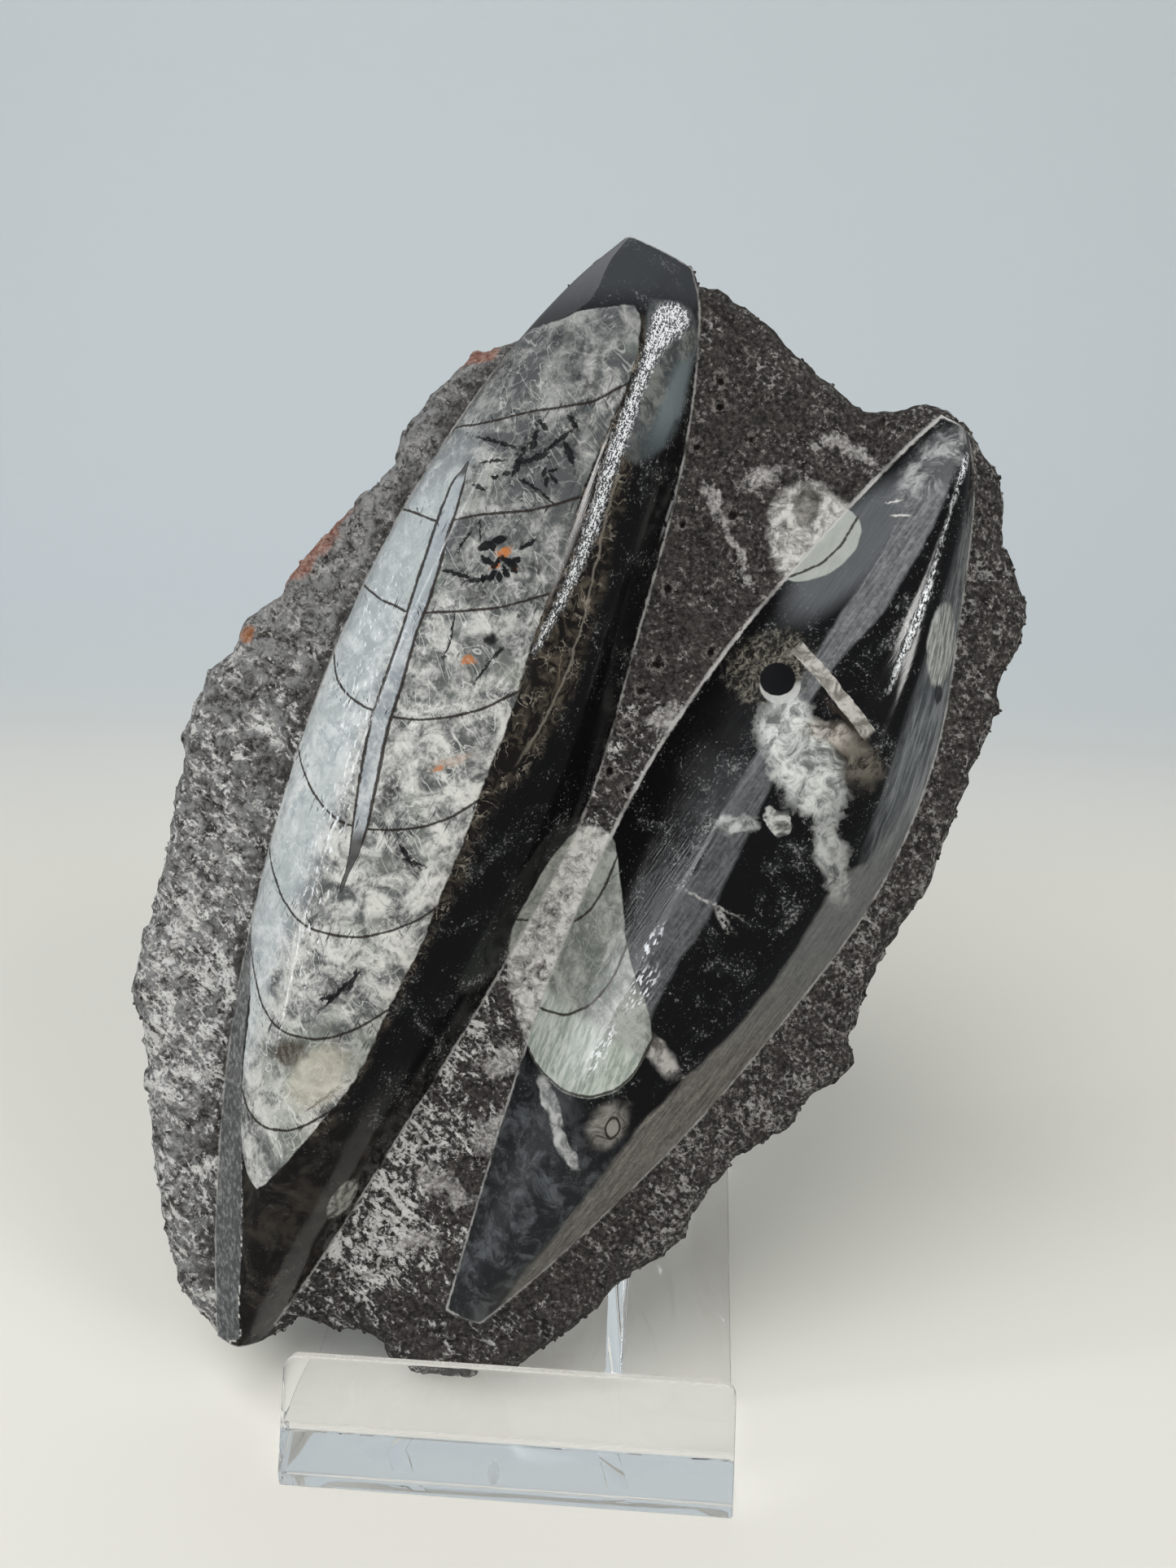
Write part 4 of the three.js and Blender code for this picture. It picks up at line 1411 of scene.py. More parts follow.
class TallPolish(StoneFinish):
    """The tall ridge: the long white shell in black stone."""

    name: str = "polished_shell_stone"

    def make(self) -> bpy.types.Material:
        """Build the material."""
        coat = self.ground()
        calcite = self.calcite()
        self.small_shells(coat, calcite)
        self.long_shell(coat, calcite)
        # Painted highlight: a grey band down the tall ridge's right flank, strewn with bright painted
        # glints; the band is also rougher and bumped.
        glint_band = self.shaken("painted_glint_band", 1.8, 1.0, 4, 0, 25).fade(-0.2, 0.9)
        core = self.attribute("painted_glint_band").fade(-0.3, 1.5)
        crumbs = self.noise(0.28, 2, 0, 26)
        streaks = self.streaks((0.22, 1.1, 1.0), -20, 2, 0.3, 27)
        painted_glints = (0.55 * crumbs + 0.45 * streaks + 0.06 * core).fade(0.52, 0.58)
        coat.lay((0.06, 0.065, 0.07), 0.8 * glint_band)
        coat.lay(COLOURS.painted_glint, 0.95 * painted_glints * glint_band)
        self.painted_crest_glints(coat)
        pebble = self.near(self.warped(0.4, 1.5, 28), Oval(-19.1, 38.2, 3.8, 1.5, 62))
        milky = ((0.08, 0.08, 0.072), (0.3, 0.3, 0.27), self.noise(1.2, 4, 0.5, 29).fade(0.38, 0.6))
        coat.lay(milky, 0.9 * pebble.fade(1.12, 0.9))
        self.worn_edge(coat)
        rough = 0.09 + 0.08 * self.noise(14, 3, 0, 30).fade(0.4, 0.65) + 0.16 * glint_band
        normal = self.bump(self.streaks((0.22, 5.0, 1.0), -20, 2, 0, 31), 0.012)
        normal = self.bump(crumbs * glint_band, 0.12, normal)
        crest = abs(self.across + 17 - 0.2 * (self.along - 120)).fade(8, 4)
        ripples = self.streaks((2.6, 0.9, 1.0), -12, 2, 0.4, 32)
        normal = self.bump(ripples * crest, 0.07, normal)
        return self.finish(coat, rough, normal, IOR=self.polish_ior)

    def painted_crest_glints(self, coat: Coat) -> None:
        """Lay painted highlights: short bright dashes where the left facets meet, and a fine grey highlight
        line on the right flank.
        """
        across, along = self.across, self.along
        crest = abs(across + 16 - 0.17 * (along - 130)).fade(4.6, 2.0)
        crest = crest * along.fade(62, 84) * along.fade(154, 140)
        glint_dashes = self.streaks((0.5, 1.7, 1.0), -8, 1, 0.2, 33).fade(0.62, 0.68)
        coat.lay(COLOURS.painted_glint, 0.65 * crest * glint_dashes)
        flank = abs(across - 33.8 - 0.28 * (along - 161)).fade(0.3, 0.1)
        flank = flank * along.fade(150, 154) * along.fade(172, 167)
        coat.lay((0.3, 0.31, 0.31), 0.7 * flank * self.noise(1.4, 3, 0, 34).fade(0.42, 0.55))

    def ground(self) -> Coat:
        """Black stone, the brown see-through zone beside the shell, and the facets lightened by painted
        sheen.
        """
        coat = self.black()
        veil = self.shaken("brown_veil", 3.0, 5, 4, 0.5, 21).fade(-0.8, 1.4)
        depth = self.noise(3.6, 7, 1.2, 22, 0.7).fade(0.45, 0.64)
        brown = Coat(self, ((0.0085, 0.0072, 0.0062), COLOURS.brown, depth))
        cracks = self.noise(3.2, 3, 1.4, 23).line(0.02, 0.004) * self.noise(4, 2, 0, 24).fade(0.44, 0.56)
        brown.lay((0.3, 0.27, 0.22), 0.75 * cracks)
        crack = abs(self.shaken("brown_veil", 2.4, 5, 5, 0.4, 35) - 2.0).fade(0.28, 0.06)
        crack = crack * self.attribute("shell").fade(-3.0, -4.4) * self.along.fade(96, 104)
        brown.lay((0.25, 0.225, 0.185), 0.6 * crack)
        coat.lay(brown, veil)
        # Painted reflection: the shoulder facet at the top of the right flank is painted blue-grey, stronger
        # towards the top, and mottled beside the glint band.
        shoulder_sheen = self.shaken("shoulder_sheen", 2.0, 4, 4, 0.5, 36).fade(-0.3, 1.0)
        shoulder_sheen = shoulder_sheen * (0.25 + 0.75 * self.along.fade(161, 172))
        coat.lay((0.17, 0.205, 0.215), 0.85 * shoulder_sheen)
        mottled = ((0.03, 0.031, 0.031), (0.2, 0.2, 0.18), self.noise(2.4, 7, 0.8, 47, 0.7).fade(0.42, 0.62))
        coat.lay(mottled, 0.8 * shoulder_sheen * self.attribute("painted_glint_band").fade(-3.6, -1.6))
        swirl = self.noise(6, 6, 1.8, 37, 0.62).fade(0.42, 0.66)
        coat.lay(((0.009, 0.0075, 0.006), (0.04, 0.035, 0.027), swirl), 0.85 * self.along.fade(64, 40))
        # Painted sheen: the left facet is painted grey, lighter in fine specks.
        speckled_sheen = self.noise(0.8, 5, 0, 38).fade(0.42, 0.7)
        left = self.attribute("left_facet").fade(-0.1, 0.15)
        coat.lay(((0.085, 0.088, 0.088), (0.26, 0.268, 0.268), speckled_sheen), 0.85 * left)
        chips = abs(self.shaken("left_facet", 0.9, 1.2, 3, 0, 39)).fade(0.34, 0.12)
        chips = chips * self.along.fade(47, 40) * self.noise(1.0, 2, 0, 40).fade(0.5, 0.58)
        coat.lay(COLOURS.bruise, 0.85 * chips)
        # Painted sheen: the tall ridge's top is laid blue-grey, and its tip facet grey, brighter towards the
        # tip.
        coat.lay((0.06, 0.066, 0.073), 0.6 * self.along.fade(184, 191))
        tip = self.attribute("tip_facet").fade(-0.1, 0.15)
        return coat.lay((0.15, 0.15, 0.157), (0.25 + 0.75 * self.along.fade(186, 200)) * tip)

    def long_shell(self, coat: Coat, calcite: Coat) -> None:
        """Lay the long shell with its walls, siphon and stains, and a painted bluish sheen along its left
        side.
        """
        # Painted reflection: the shell's left side is painted pale blue, fading out towards the top.
        side = 0.942 * self.across - 0.336 * self.along
        sky_sheen = 0.48 * side.fade(-51, -57) * self.along.fade(176, 150)
        shell = Coat(self, (calcite, (0.64, 0.7, 0.72), sky_sheen))
        self.stains(shell)
        siphon = self.attribute("siphon")
        shell.lay(COLOURS.siphon, 0.5 * siphon.fade(1.0, 0.9))
        line = (abs(siphon - 1) * 1.3 + 0.5 * (self.noise(0.9, 4, 0, 41) - 0.5)).fade(0.36, 0.14)
        ends = self.along.fade(103, 99.5).most(self.along.fade(158.6, 160))
        away = self.attribute("chamber").off_whole() * self.attribute("wall_gap")
        fringe = away.fade(3.4, 0.4) * self.hairs()
        walls = self.walls("chamber", "wall_gap") * siphon.fade(0.95, 1.0)
        shell.lay(COLOURS.smudge, 0.85 * fringe)
        shell.lay(COLOURS.wall, 0.92 * line.most(walls).most(0.9 * siphon.fade(1.1, 0.8) * ends))
        coat.lay(shell, self.shell("shell", 0.9))

    def stains(self, coat: Coat) -> None:
        """Lay soft smudges, black branching growths and orange and brown spots in the calcite."""
        shaken = self.warped(1.2, 1.5, 42)
        ragged = self.warped(0.6, 0.7, 43)
        mottle = self.noise(1.1, 6, 1.0, 44, 0.72).fade(0.36, 0.58)
        coat.lay(COLOURS.smudge, 0.85 * self.near(shaken, *SMUDGES).fade(1.35, 0.35) * mottle)
        halo = self.near(shaken, *BRANCHES).fade(3.2, 1.0)
        twigs = self.noise(1.2, 3, 0.6, 45).line(0.05, 0.02) * self.noise(2.4, 2, 0, 46).fade(0.42, 0.54)
        coat.lay(COLOURS.ink, 0.85 * halo * twigs)
        coat.lay(COLOURS.ink, 0.92 * self.near(ragged, *BRANCHES).fade(1.3, 0.9))
        for spot in ORANGE_SPOTS:
            coat.lay(COLOURS.orange, 0.92 * self.near(shaken, spot).fade(1.3, 0.7) * (0.55 + 0.45 * mottle))
        coat.lay(COLOURS.ink, 0.97 * self.near(ragged, *PETALS).fade(1.5, 1.05))
        coat.lay(COLOURS.ink, 0.92 * self.near(shaken, Oval(5.2, 132.4, 1.5, 1.1)).fade(1.4, 0.2))
        coat.lay((0.42, 0.28, 0.2), 0.45 * self.near(shaken, Oval(-0.2, 113.2, 4.2, 1.0, 22)).fade(1.2, 0.3))
        coat.lay((0.56, 0.52, 0.42), 0.55 * self.near(shaken, Oval(-21.5, 61.2, 7.5, 5, 50)).fade(1.1, 0.5))
        brown = self.near(shaken, Oval(-26.7, 64.8, 3.6, 2.3, 20)).fade(1.3, 0.5)
        coat.lay((0.05, 0.037, 0.024), 0.92 * brown * (0.65 + 0.35 * mottle))


class LongPolish(StoneFinish):
    """The long ridge: black stone with a brushed crest lightened partly by painted sheen, a brown flank and
    scattered fossils.
    """

    name: str = "polished_dark_stone"

    def make(self) -> bpy.types.Material:
        """Build the material."""
        across, along = self.across, self.along
        coat = self.black()
        milky = self.noise(4, 7, 0.8, 51, 0.74).fade(0.44, 0.64)
        # Painted sheen: the lower end is laid dark grey, mottled with blue-grey.
        lower = (along + 0.8 * across).fade(80, 58)
        coat.lay((0.018, 0.0195, 0.021), 0.8 * lower)
        coat.lay((0.105, 0.115, 0.12), 0.75 * lower * milky)
        speck = self.noise(0.7, 5, 0, 52, 0.7).fade(0.38, 0.7)
        flank = self.shaken("brown_flank", 1.6, 5, 4, 0, 53).fade(-0.5, 0.6)
        crown = self.shaken("crown_band", 0.9, 3, 3, 0, 54).fade(-0.35, 0.45)
        brushed = self.streaks((0.3, 6.0, 1.0), -33, 3, 0.2, 55, 0.6)
        grain = 0.45 * speck + 0.55 * brushed.fade(0.36, 0.64)
        dull = Coat(self, ((0.075, 0.07, 0.062), (0.26, 0.248, 0.22), grain))
        coat.lay(dull.lay((0.13, 0.14, 0.145), 0.55 * along.fade(62, 90)), 0.92 * flank)
        # The crown band: brushed grey grain, partly painted sheen, lighter towards the top.
        grain = 0.5 * speck + 0.5 * brushed.fade(0.35, 0.65)
        brushed_sheen = self.paint(((0.07, 0.072, 0.075), (0.26, 0.265, 0.27), grain))
        coat.lay(brushed_sheen, crown * (0.5 + 0.35 * along.fade(100, 150)))
        # The facet left of the crown at the top: painted sheen, streaked by the brushed grain.
        facet = self.near(self.place, Oval(62.4, 149.8, 16.6, 5.6, 50)).fade(1.15, 0.6)
        facet = facet * crown.fade(0.9, 0.1)
        coat.lay(((0.065, 0.07, 0.074), (0.165, 0.175, 0.18), brushed), 0.85 * facet)
        cap = self.near(self.warped(1.5, 2.5, 56), Oval(74.6, 163.4, 8.4, 3.8, 54)).fade(1.2, 0.6)
        coat.lay(((0.07, 0.073, 0.076), (0.46, 0.46, 0.45), milky), 0.85 * cap)
        # Painted sheen: grey streaks along the right flank, above its middle.
        right = (across - 0.27 * along).fade(37.4, 39.6) * along.fade(92, 112)
        glassy_sheen = self.streaks((1.2, 9.0, 1.0), -14, 4, 0.5, 57, 0.62).fade(0.4, 0.62)
        coat.lay(((0.07, 0.08, 0.086), (0.23, 0.245, 0.25), glassy_sheen), 0.8 * right)
        self.fossils(coat)
        self.small_shells(coat, self.calcite())
        # Painted highlight: bright glints strewn along the sheen band.
        sheen = (self.shaken("sheen_band", 1.2, 1.0, 4, 0, 58) - 0.5).fade(-0.4, 0.4) * along.fade(120, 130)
        crumbs = self.noise(0.34, 2, 0, 59)
        streaks = self.streaks((0.25, 1.2, 1.0), -18, 2, 0.3, 60)
        coat.lay(COLOURS.painted_glint, 0.95 * sheen * (0.5 * crumbs + 0.5 * streaks).fade(0.45, 0.55))
        ragged = self.ragged()
        coat.lay(COLOURS.bruise, 0.8 * self.near(ragged, *SCARS).fade(1.4, 0.7))
        # Painted highlight: bright glints on the ridge's lower crest.
        glint_streaks = self.streaks((0.4, 1.3, 1.0), -28, 1, 0.2, 73).fade(0.52, 0.6)
        coat.lay(COLOURS.painted_glint, 0.7 * self.near(ragged, *GLINT_MARKS).fade(1.4, 0.6) * glint_streaks)
        self.worn_edge(coat)
        rough = 0.09 + 0.08 * self.noise(12, 3, 0, 61).fade(0.4, 0.65) + 0.16 * crown
        rough = rough + 0.16 * flank + 0.15 * sheen + 0.3 * along.fade(70, 56)
        normal = self.bump(brushed, 0.014)
        normal = self.bump(crumbs * sheen, 0.12, normal)
        return self.finish(coat, rough, normal, IOR=self.polish_ior)

    def ragged(self) -> Socket:
        """The point, shaken a little."""
        return self.warped(0.5, 0.8, 62)

    def fossils(self, coat: Coat) -> None:
        """Lay the small round, barred and crystalline fossils in the ridge's upper half."""
        shaken = self.warped(2.4, 3.0, 63)
        feather = self.noise(3.0, 8, 1.0, 64, 0.68)
        tone = feather.fade(0.4, 0.6)
        ruffle = 1.2 * (feather - 0.5)
        olive = self.noise(1.2, 7, 1.2, 65, 0.72).fade(0.44, 0.66)
        crystal = self.paint(((0.12, 0.125, 0.12), (0.6, 0.61, 0.58), feather.fade(0.36, 0.62)))
        arch = (self.near(shaken, Oval(49.4, 130.2, 7.4, 6.0, 30)) + ruffle).fade(1.1, 0.7)
        coat.lay(((0.012, 0.011, 0.009), (0.25, 0.235, 0.19), olive), 0.85 * arch)
        body = self.near(shaken, Oval(54.6, 115.2, 10, 5, -60), Oval(52.6, 123.4, 3, 2.6, 20))
        coat.lay(crystal, (body + 1.6 * (feather - 0.5)).fade(1.2, 0.85))
        tail = self.near(shaken, Oval(60.4, 99.6, 8, 2.6, -74), Oval(44.9, 104.6, 3.4, 1.7, -8))
        coat.lay(crystal, 0.7 * (tail + 1.8 * (feather - 0.5)).fade(1.2, 0.7))
        stain = (self.near(shaken, Oval(63.4, 115.6, 5.4, 3.8, -55)) + ruffle).fade(1.25, 0.5)
        coat.lay(((0.022, 0.019, 0.015), (0.2, 0.178, 0.145), tone), 0.7 * stain)
        swirl = (self.near(shaken, Oval(58.6, 119.4, 4.6, 2.0, -24)) + ruffle).fade(1.25, 0.5)
        coat.lay(((0.07, 0.058, 0.047), (0.5, 0.46, 0.41), tone), 0.8 * swirl)
        shade = self.near(shaken, Oval(61.4, 121.6, 5.4, 0.8, -44)).fade(1.4, 0.5)
        coat.lay((0.03, 0.022, 0.016), 0.7 * shade)
        bar = self.bar(self.warped(0.35, 1.6, 66), Oval(59.4, 126.4, 8.9, 1.15, -50)).fade(1.05, 0.95)
        coat.lay(((0.16, 0.15, 0.13), (0.5, 0.48, 0.44), tone), 0.9 * bar)
        small = self.near(shaken, Oval(51.5, 105.7, 2.6, 2.1, -30))
        coat.lay(((0.08, 0.08, 0.075), (0.5, 0.5, 0.47), tone), 0.9 * small.fade(1.05, 0.9))
        coat.lay(COLOURS.ink, 0.8 * abs(small - 1.1).fade(0.14, 0.03))
        crescent = self.near(self.place, Oval(51.1, 127.1, 3.1, 3.1)).fade(1.04, 0.98)
        coat.lay((0.5, 0.5, 0.47), 0.75 * (crescent * self.along.fade(128.2, 126.6)))
        disc = self.near(self.warped(0.12, 1.0, 67), Oval(50.7, 128.0, 2.75, 2.75))
        coat.lay((0.004, 0.004, 0.005), disc.fade(1.03, 0.95))
        oval = self.near(self.warped(0.4, 2.0, 68), Oval(76.9, 134.4, 6.6, 2.9, 86))
        streaks = self.streaks((0.7, 4.0, 1.0), -6, 4, 0.4, 69, 0.66).fade(0.4, 0.62)
        coat.lay(((0.17, 0.18, 0.17), (0.52, 0.53, 0.5), streaks), 0.85 * oval.fade(1.08, 0.9))
        wedge = self.near(self.ragged(), Oval(77, 126.4, 1.5, 0.8, 90)).fade(1.2, 0.8)
        coat.lay((0.012, 0.012, 0.014), 0.85 * wedge)
        self.lower_marks(coat, tone)

    def lower_marks(self, coat: Coat, tone: Value) -> None:
        """Lay the white streak and the ringed eye in the ridge's lower half, and the crack above them."""
        bent = self.warped(1.2, 2.4, 70)
        streak = self.near(bent, Oval(15.9, 57.2, 3.8, 1.3, -62), Oval(18.7, 50.4, 4.2, 1.1, -60))
        coat.lay(((0.16, 0.165, 0.165), (0.5, 0.5, 0.48), tone), 0.85 * streak.fade(1.2, 0.8))
        horn = self.near(bent, Oval(34.2, 66.6, 4.6, 1.9, -56)).fade(1.2, 0.5)
        coat.lay(((0.12, 0.11, 0.1), (0.5, 0.48, 0.45), tone), 0.8 * horn)
        light = self.near(bent, Oval(25.8, 54.6, 4.6, 3.0, 60)).fade(1.25, 0.6)
        coat.lay(((0.07, 0.064, 0.055), (0.3, 0.285, 0.255), tone), 0.75 * light)
        eye = self.near(self.warped(0.2, 1.2, 71), Oval(26.6, 54.2, 1.95, 1.15, 80))
        coat.lay((0.26, 0.25, 0.23), 0.5 * eye.fade(0.9, 0.6))
        coat.lay(COLOURS.wall, 0.92 * abs(eye - 0.95).fade(0.2, 0.08))
        cracks = self.near(bent, Oval(41.2, 91.9, 5, 0.35, -24), Oval(43.4, 89.4, 2.2, 0.6, -50))
        crumbs = self.noise(0.7, 3, 0, 72).fade(0.4, 0.58)
        coat.lay(COLOURS.pale, 0.7 * cracks.fade(1.5, 0.5) * crumbs)


class RoughStone(StoneFinish):
    """The hammered, granular face, rim and back."""

    name: str = "broken_limestone"

    def make(self) -> bpy.types.Material:
        """Build the material."""
        along = self.along
        place = self.across + 0.33 * (70 - along)
        grain = self.noise(0.7, 6, 0, 81, 0.76)
        clouds = self.noise(10, 7, 1.2, 82, 0.66)
        streaks = self.streaks((5.0, 1.8, 3.0), -42, 7, 1.4, 83, 0.72)
        web = self.noise(6, 5, 1.6, 84, 0.6).line(0.045, 0.0)
        # Painted light: the left margin, where the face slopes away to the left, is made lighter and whiter,
        # here and by the grey laid over it below.
        left = (self.attribute("left_side") + 16 * (clouds - 0.5)).fade(-2, 5)
        valley = along.fade(88, 62) * along.fade(10, 22) * abs(place + 8).fade(18, 9)
        side = 0.05 * left * (1 + 0.8 * along.fade(100, 70)) + 0.1 * valley + 0.045 * place.fade(30, 50)
        calm = place.fade(18, 40).most(along.fade(112, 150))
        thick = (0.95 * (streaks - 0.5) + 0.6 * (clouds - 0.5)) * (1 - 0.5 * calm) + 0.06 * web + side
        coat = Coat(self, ((0.013, 0.0115, 0.0105), (0.088, 0.08, 0.072), grain.fade(0.36, 0.64)))
        # Painted light: grey laid over the left margin.
        coat.lay((0.36, 0.363, 0.36), 0.72 * left * self.noise(2.2, 7, 0.8, 85, 0.76).fade(0.4, 0.6))
        light = ((0.3, 0.288, 0.272), (0.7, 0.69, 0.66), thick.fade(0.02, 0.2))
        specks = (grain + thick).fade(0.57, 0.67)
        coat.lay((light, (0.2, 0.187, 0.17), 0.55 * calm), specks)
        self.patches(coat, grain)
        self.chalk_shells(coat)
        pit = self.shaken("pit", 0.8, 0.8, 3, 0, 86)
        ring = pit.fade(2.6, 1.3) * pit.fade(0.7, 1.1) * grain.fade(0.44, 0.56)
        coat.lay((0.3, 0.27, 0.25), 0.6 * ring)
        # Painted shade: the pits' insides are darkened.
        coat.lay((0.01, 0.007, 0.006), 0.92 * pit.fade(0.95, 0.6))
        self.worn_edge(coat)
        chips = self.cells(1.7, self.warped(0.9, 1.5, 87), "F1")
        normal = self.bump(grain, 0.5, self.bump(chips, 0.6))
        return self.finish(coat, 0.8 - 0.35 * specks, normal, IOR=1.5)

    def patches(self, coat: Coat, grain: Value) -> None:
        """Lay rust on the broken edge, white streaks and bruises on the face."""
        shaken = self.warped(3.4, 4.0, 88)
        tone = grain.fade(0.38, 0.64)
        rust = self.near(shaken, Oval(-31, 147.5, 13, 3.4, 42), Oval(-1, 182.8, 6.5, 2.6, 30)).fade(1.1, 0.7)
        coat.lay((COLOURS.rust, (0.42, 0.27, 0.21), tone), 0.88 * rust)
        coat.lay(COLOURS.orange, 0.5 * self.near(shaken, Oval(-40, 134, 2.4, 1.6, 30)).fade(1.1, 0.5))
        share = (self.near(shaken, *PALE_STREAKS) - 1.6 * (grain - 0.5)).fade(1.25, 0.5)
        coat.lay(COLOURS.bruise, 0.82 * share * (0.3 + 0.7 * tone))

    def chalk_shells(self, coat: Coat) -> None:
        """Lay the smaller shells where the hammered face cuts them: rough cream chalk with small holes
        painted dark as shade.
        """
        coarse = self.noise(2.2, 7, 0.8, 89, 0.72)
        chalk = Coat(self, ((0.32, 0.31, 0.29), (0.74, 0.725, 0.68), coarse.fade(0.42, 0.56)))
        # Painted shade: dark spots stand in for the shade in small holes.
        chalk.lay((0.05, 0.04, 0.034), 0.85 * coarse.fade(0.42, 0.36))
        edge = 2.4 * (coarse - 0.5)
        inside = (self.attribute("lower_shell") + edge).fade(-0.6, 0.5)
        inside = inside.most((self.attribute("upper_shell") + edge).fade(-1.2, 0.6))
        front = self.axis("Z").fade(-9, -6)
        coat.lay(chalk, 0.92 * inside * front)
        core = front * self.near(self.warped(0.6, 1.5, 90), Oval(55, 157, 3.1, 2.1, 80)).fade(1.15, 0.9)
        coat.lay(((0.13, 0.125, 0.11), (0.3, 0.29, 0.26), coarse.fade(0.4, 0.6)), 0.9 * core)


class ClearAcrylic(NodeSheet):
    """Clear moulded acrylic, see-through, with a frosted gate mark."""

    name: str = "clear_acrylic_moulding"
    ior: float = 1.49
    gloss: float = 0.015
    gate: tuple[float, float, float] = (-1.5, -44.0, 6.0)
    gate_half: tuple[float, float, float] = (1.4, 2.5, 2.8)

    def make(self) -> bpy.types.Material:
        """Build the material."""
        middle, half = (tuple(MM * k for k in sizes) for sizes in (self.gate, self.gate_half))
        laid = self.mapped(self.point, middle, 0.0, half)
        length = self.node("ShaderNodeVectorMath", {"operation": "LENGTH"}, {0: laid}).outputs["Value"]
        scuffs = self.noise(6, 4, 0, 81).fade(0.55, 0.75)
        rough = self.gloss + 0.03 * scuffs + 0.4 * Value(self, length).fade(1.05, 0.9)
        normal = self.bump(self.noise(14, 2, 0, 82), 0.02)
        return self.finish((0.985, 0.99, 0.995), rough, normal, IOR=self.ior, Transmission_Weight=1.0)


@dataclass
class Easel:
    """The clear display easel: the frame's own moulding with rounded edges."""

    name: str = "clear_display_easel"
    round_edge: float = 0.4
    flat_angle: float = 12.0

    def build(self, node: bpy.types.Object, finish: bpy.types.Material) -> bpy.types.Object:
        """Copy the frame's solid, round its edges and dress it.

        Args:
            node: the frame's easel.
            finish: its material.

        Returns:
            The easel.
        """
        form = bmesh.new()
        form.from_mesh(node.data)
        bmesh.ops.remove_doubles(form, verts=form.verts, dist=1e-6)
        flat = math.radians(self.flat_angle)
        bmesh.ops.dissolve_limit(form, angle_limit=math.radians(0.5), verts=form.verts, edges=form.edges)
        hard = [e for e in form.edges if len(e.link_faces) == 2 and e.calc_face_angle() > flat]
        round_edge = {"offset": self.round_edge * MM, "segments": 2, "profile": 0.5, "affect": "EDGES"}
        bmesh.ops.bevel(form, geom=hard, clamp_overlap=True, **round_edge)
        bmesh.ops.triangulate(form, faces=[f for f in form.faces if len(f.verts) > 4])
        mesh = bpy.data.meshes.new(self.name)
        form.to_mesh(mesh)
        form.free()
        mesh.materials.append(finish)
        mesh.shade_smooth()
        mesh.set_sharp_from_angle(angle=math.radians(24))
        return new_object(self.name, mesh)


@dataclass
class RockGrains:
    """Loose-looking grains that stand in the broken stone, set by Geometry Nodes."""

    name: str = "rock_grains"
    density: float = 60000.0
    smallest: float = 0.22
    largest: float = 0.6
    seed: int = 4

    def tree(self) -> bpy.types.NodeTree:
        """The node tree: points on the rough faces, a grain on each, made one mesh."""
        tree = bpy.data.node_groups.new(self.name, "GeometryNodeTree")
        kinds = {"Geometry": "Geometry", "Density": "Float", "Smallest": "Float", "Largest": "Float"}
        kinds |= {"Seed": "Int", "Material": "Material"}
        for label, kind in kinds.items():
            tree.interface.new_socket(label, in_out="INPUT", socket_type=f"NodeSocket{kind}")
        tree.interface.new_socket("Geometry", in_out="OUTPUT", socket_type="NodeSocketGeometry")
        given = add_node(tree, "NodeGroupInput").outputs
        index = add_node(tree, "GeometryNodeInputMaterialIndex").outputs[0]
        equal = {"data_type": "INT", "operation": "EQUAL"}
        rough = add_node(tree, "FunctionNodeCompare", equal, {2: index, 3: Region.ROUGH.value}).outputs[0]
        inputs = {"Mesh": given["Geometry"], "Selection": rough}
        inputs |= {label: given[label] for label in ("Density", "Seed")}
        points = add_node(tree, "GeometryNodeDistributePointsOnFaces", None, inputs).outputs["Points"]
        inputs = {"Radius": 1.0, "Subdivisions": 1}
        grain = add_node(tree, "GeometryNodeMeshIcoSphere", None, inputs).outputs[0]
        vector = {"data_type": "FLOAT_VECTOR"}
        inputs = {0: given["Smallest"], 1: given["Largest"], "Seed": given["Seed"]}
        size = add_node(tree, "FunctionNodeRandomValue", vector, inputs).outputs[0]
        turn = add_node(tree, "FunctionNodeRandomValue", vector, {1: (math.tau,) * 3}).outputs[0]
        inputs = {"Points": points, "Instance": grain, "Rotation": turn, "Scale": size}
        placed = add_node(tree, "GeometryNodeInstanceOnPoints", None, inputs).outputs[0]
        real = add_node(tree, "GeometryNodeRealizeInstances", None, {0: placed}).outputs[0]
        inputs = {"Geometry": real, "Material": given["Material"]}
        dressed = add_node(tree, "GeometryNodeSetMaterial", None, inputs).outputs[0]
        add_node(tree, "NodeGroupOutput", None, {"Geometry": dressed})
        return tree

    def build(self, stone: bpy.types.Object, finish: bpy.types.Material) -> bpy.types.Object:
        """Scatter the grains over the stone.

        Args:
            stone: what they stand in.
            finish: their material.

        Returns:
            The grains, as one plain mesh.
        """
        grains = new_object(self.name, stone.data.copy())
        modifier = grains.modifiers.new("scatter", "NODES")
        modifier.node_group = self.tree()
        values = {
            "Density": self.density, "Smallest": self.smallest * MM, "Largest": self.largest * MM,
            "Seed": self.seed, "Material": finish,
        }
        for item in modifier.node_group.interface.items_tree:
            if item.in_out == "INPUT" and item.name in values:
                modifier[item.identifier] = values[item.name]
        graph = bpy.context.evaluated_depsgraph_get()
        mesh = bpy.data.meshes.new_from_object(grains.evaluated_get(graph), depsgraph=graph)
        grains.modifiers.clear()
        mesh.name = self.name
        grains.data = mesh
        log.info("%s: %d triangles", self.name, len(mesh.polygons))
        return grains


class PaleSweep(NodeSheet):
    """The floor's paint, warm in front and cool behind."""

    name: str = "pale_sweep"

    def make(self) -> bpy.types.Material:
        """Build the material."""
        back = self.axis("Y", self.point)
        return self.finish(((0.72, 0.7, 0.64), (0.56, 0.605, 0.625), back.fade(0.16, 0.42)), 0.85)


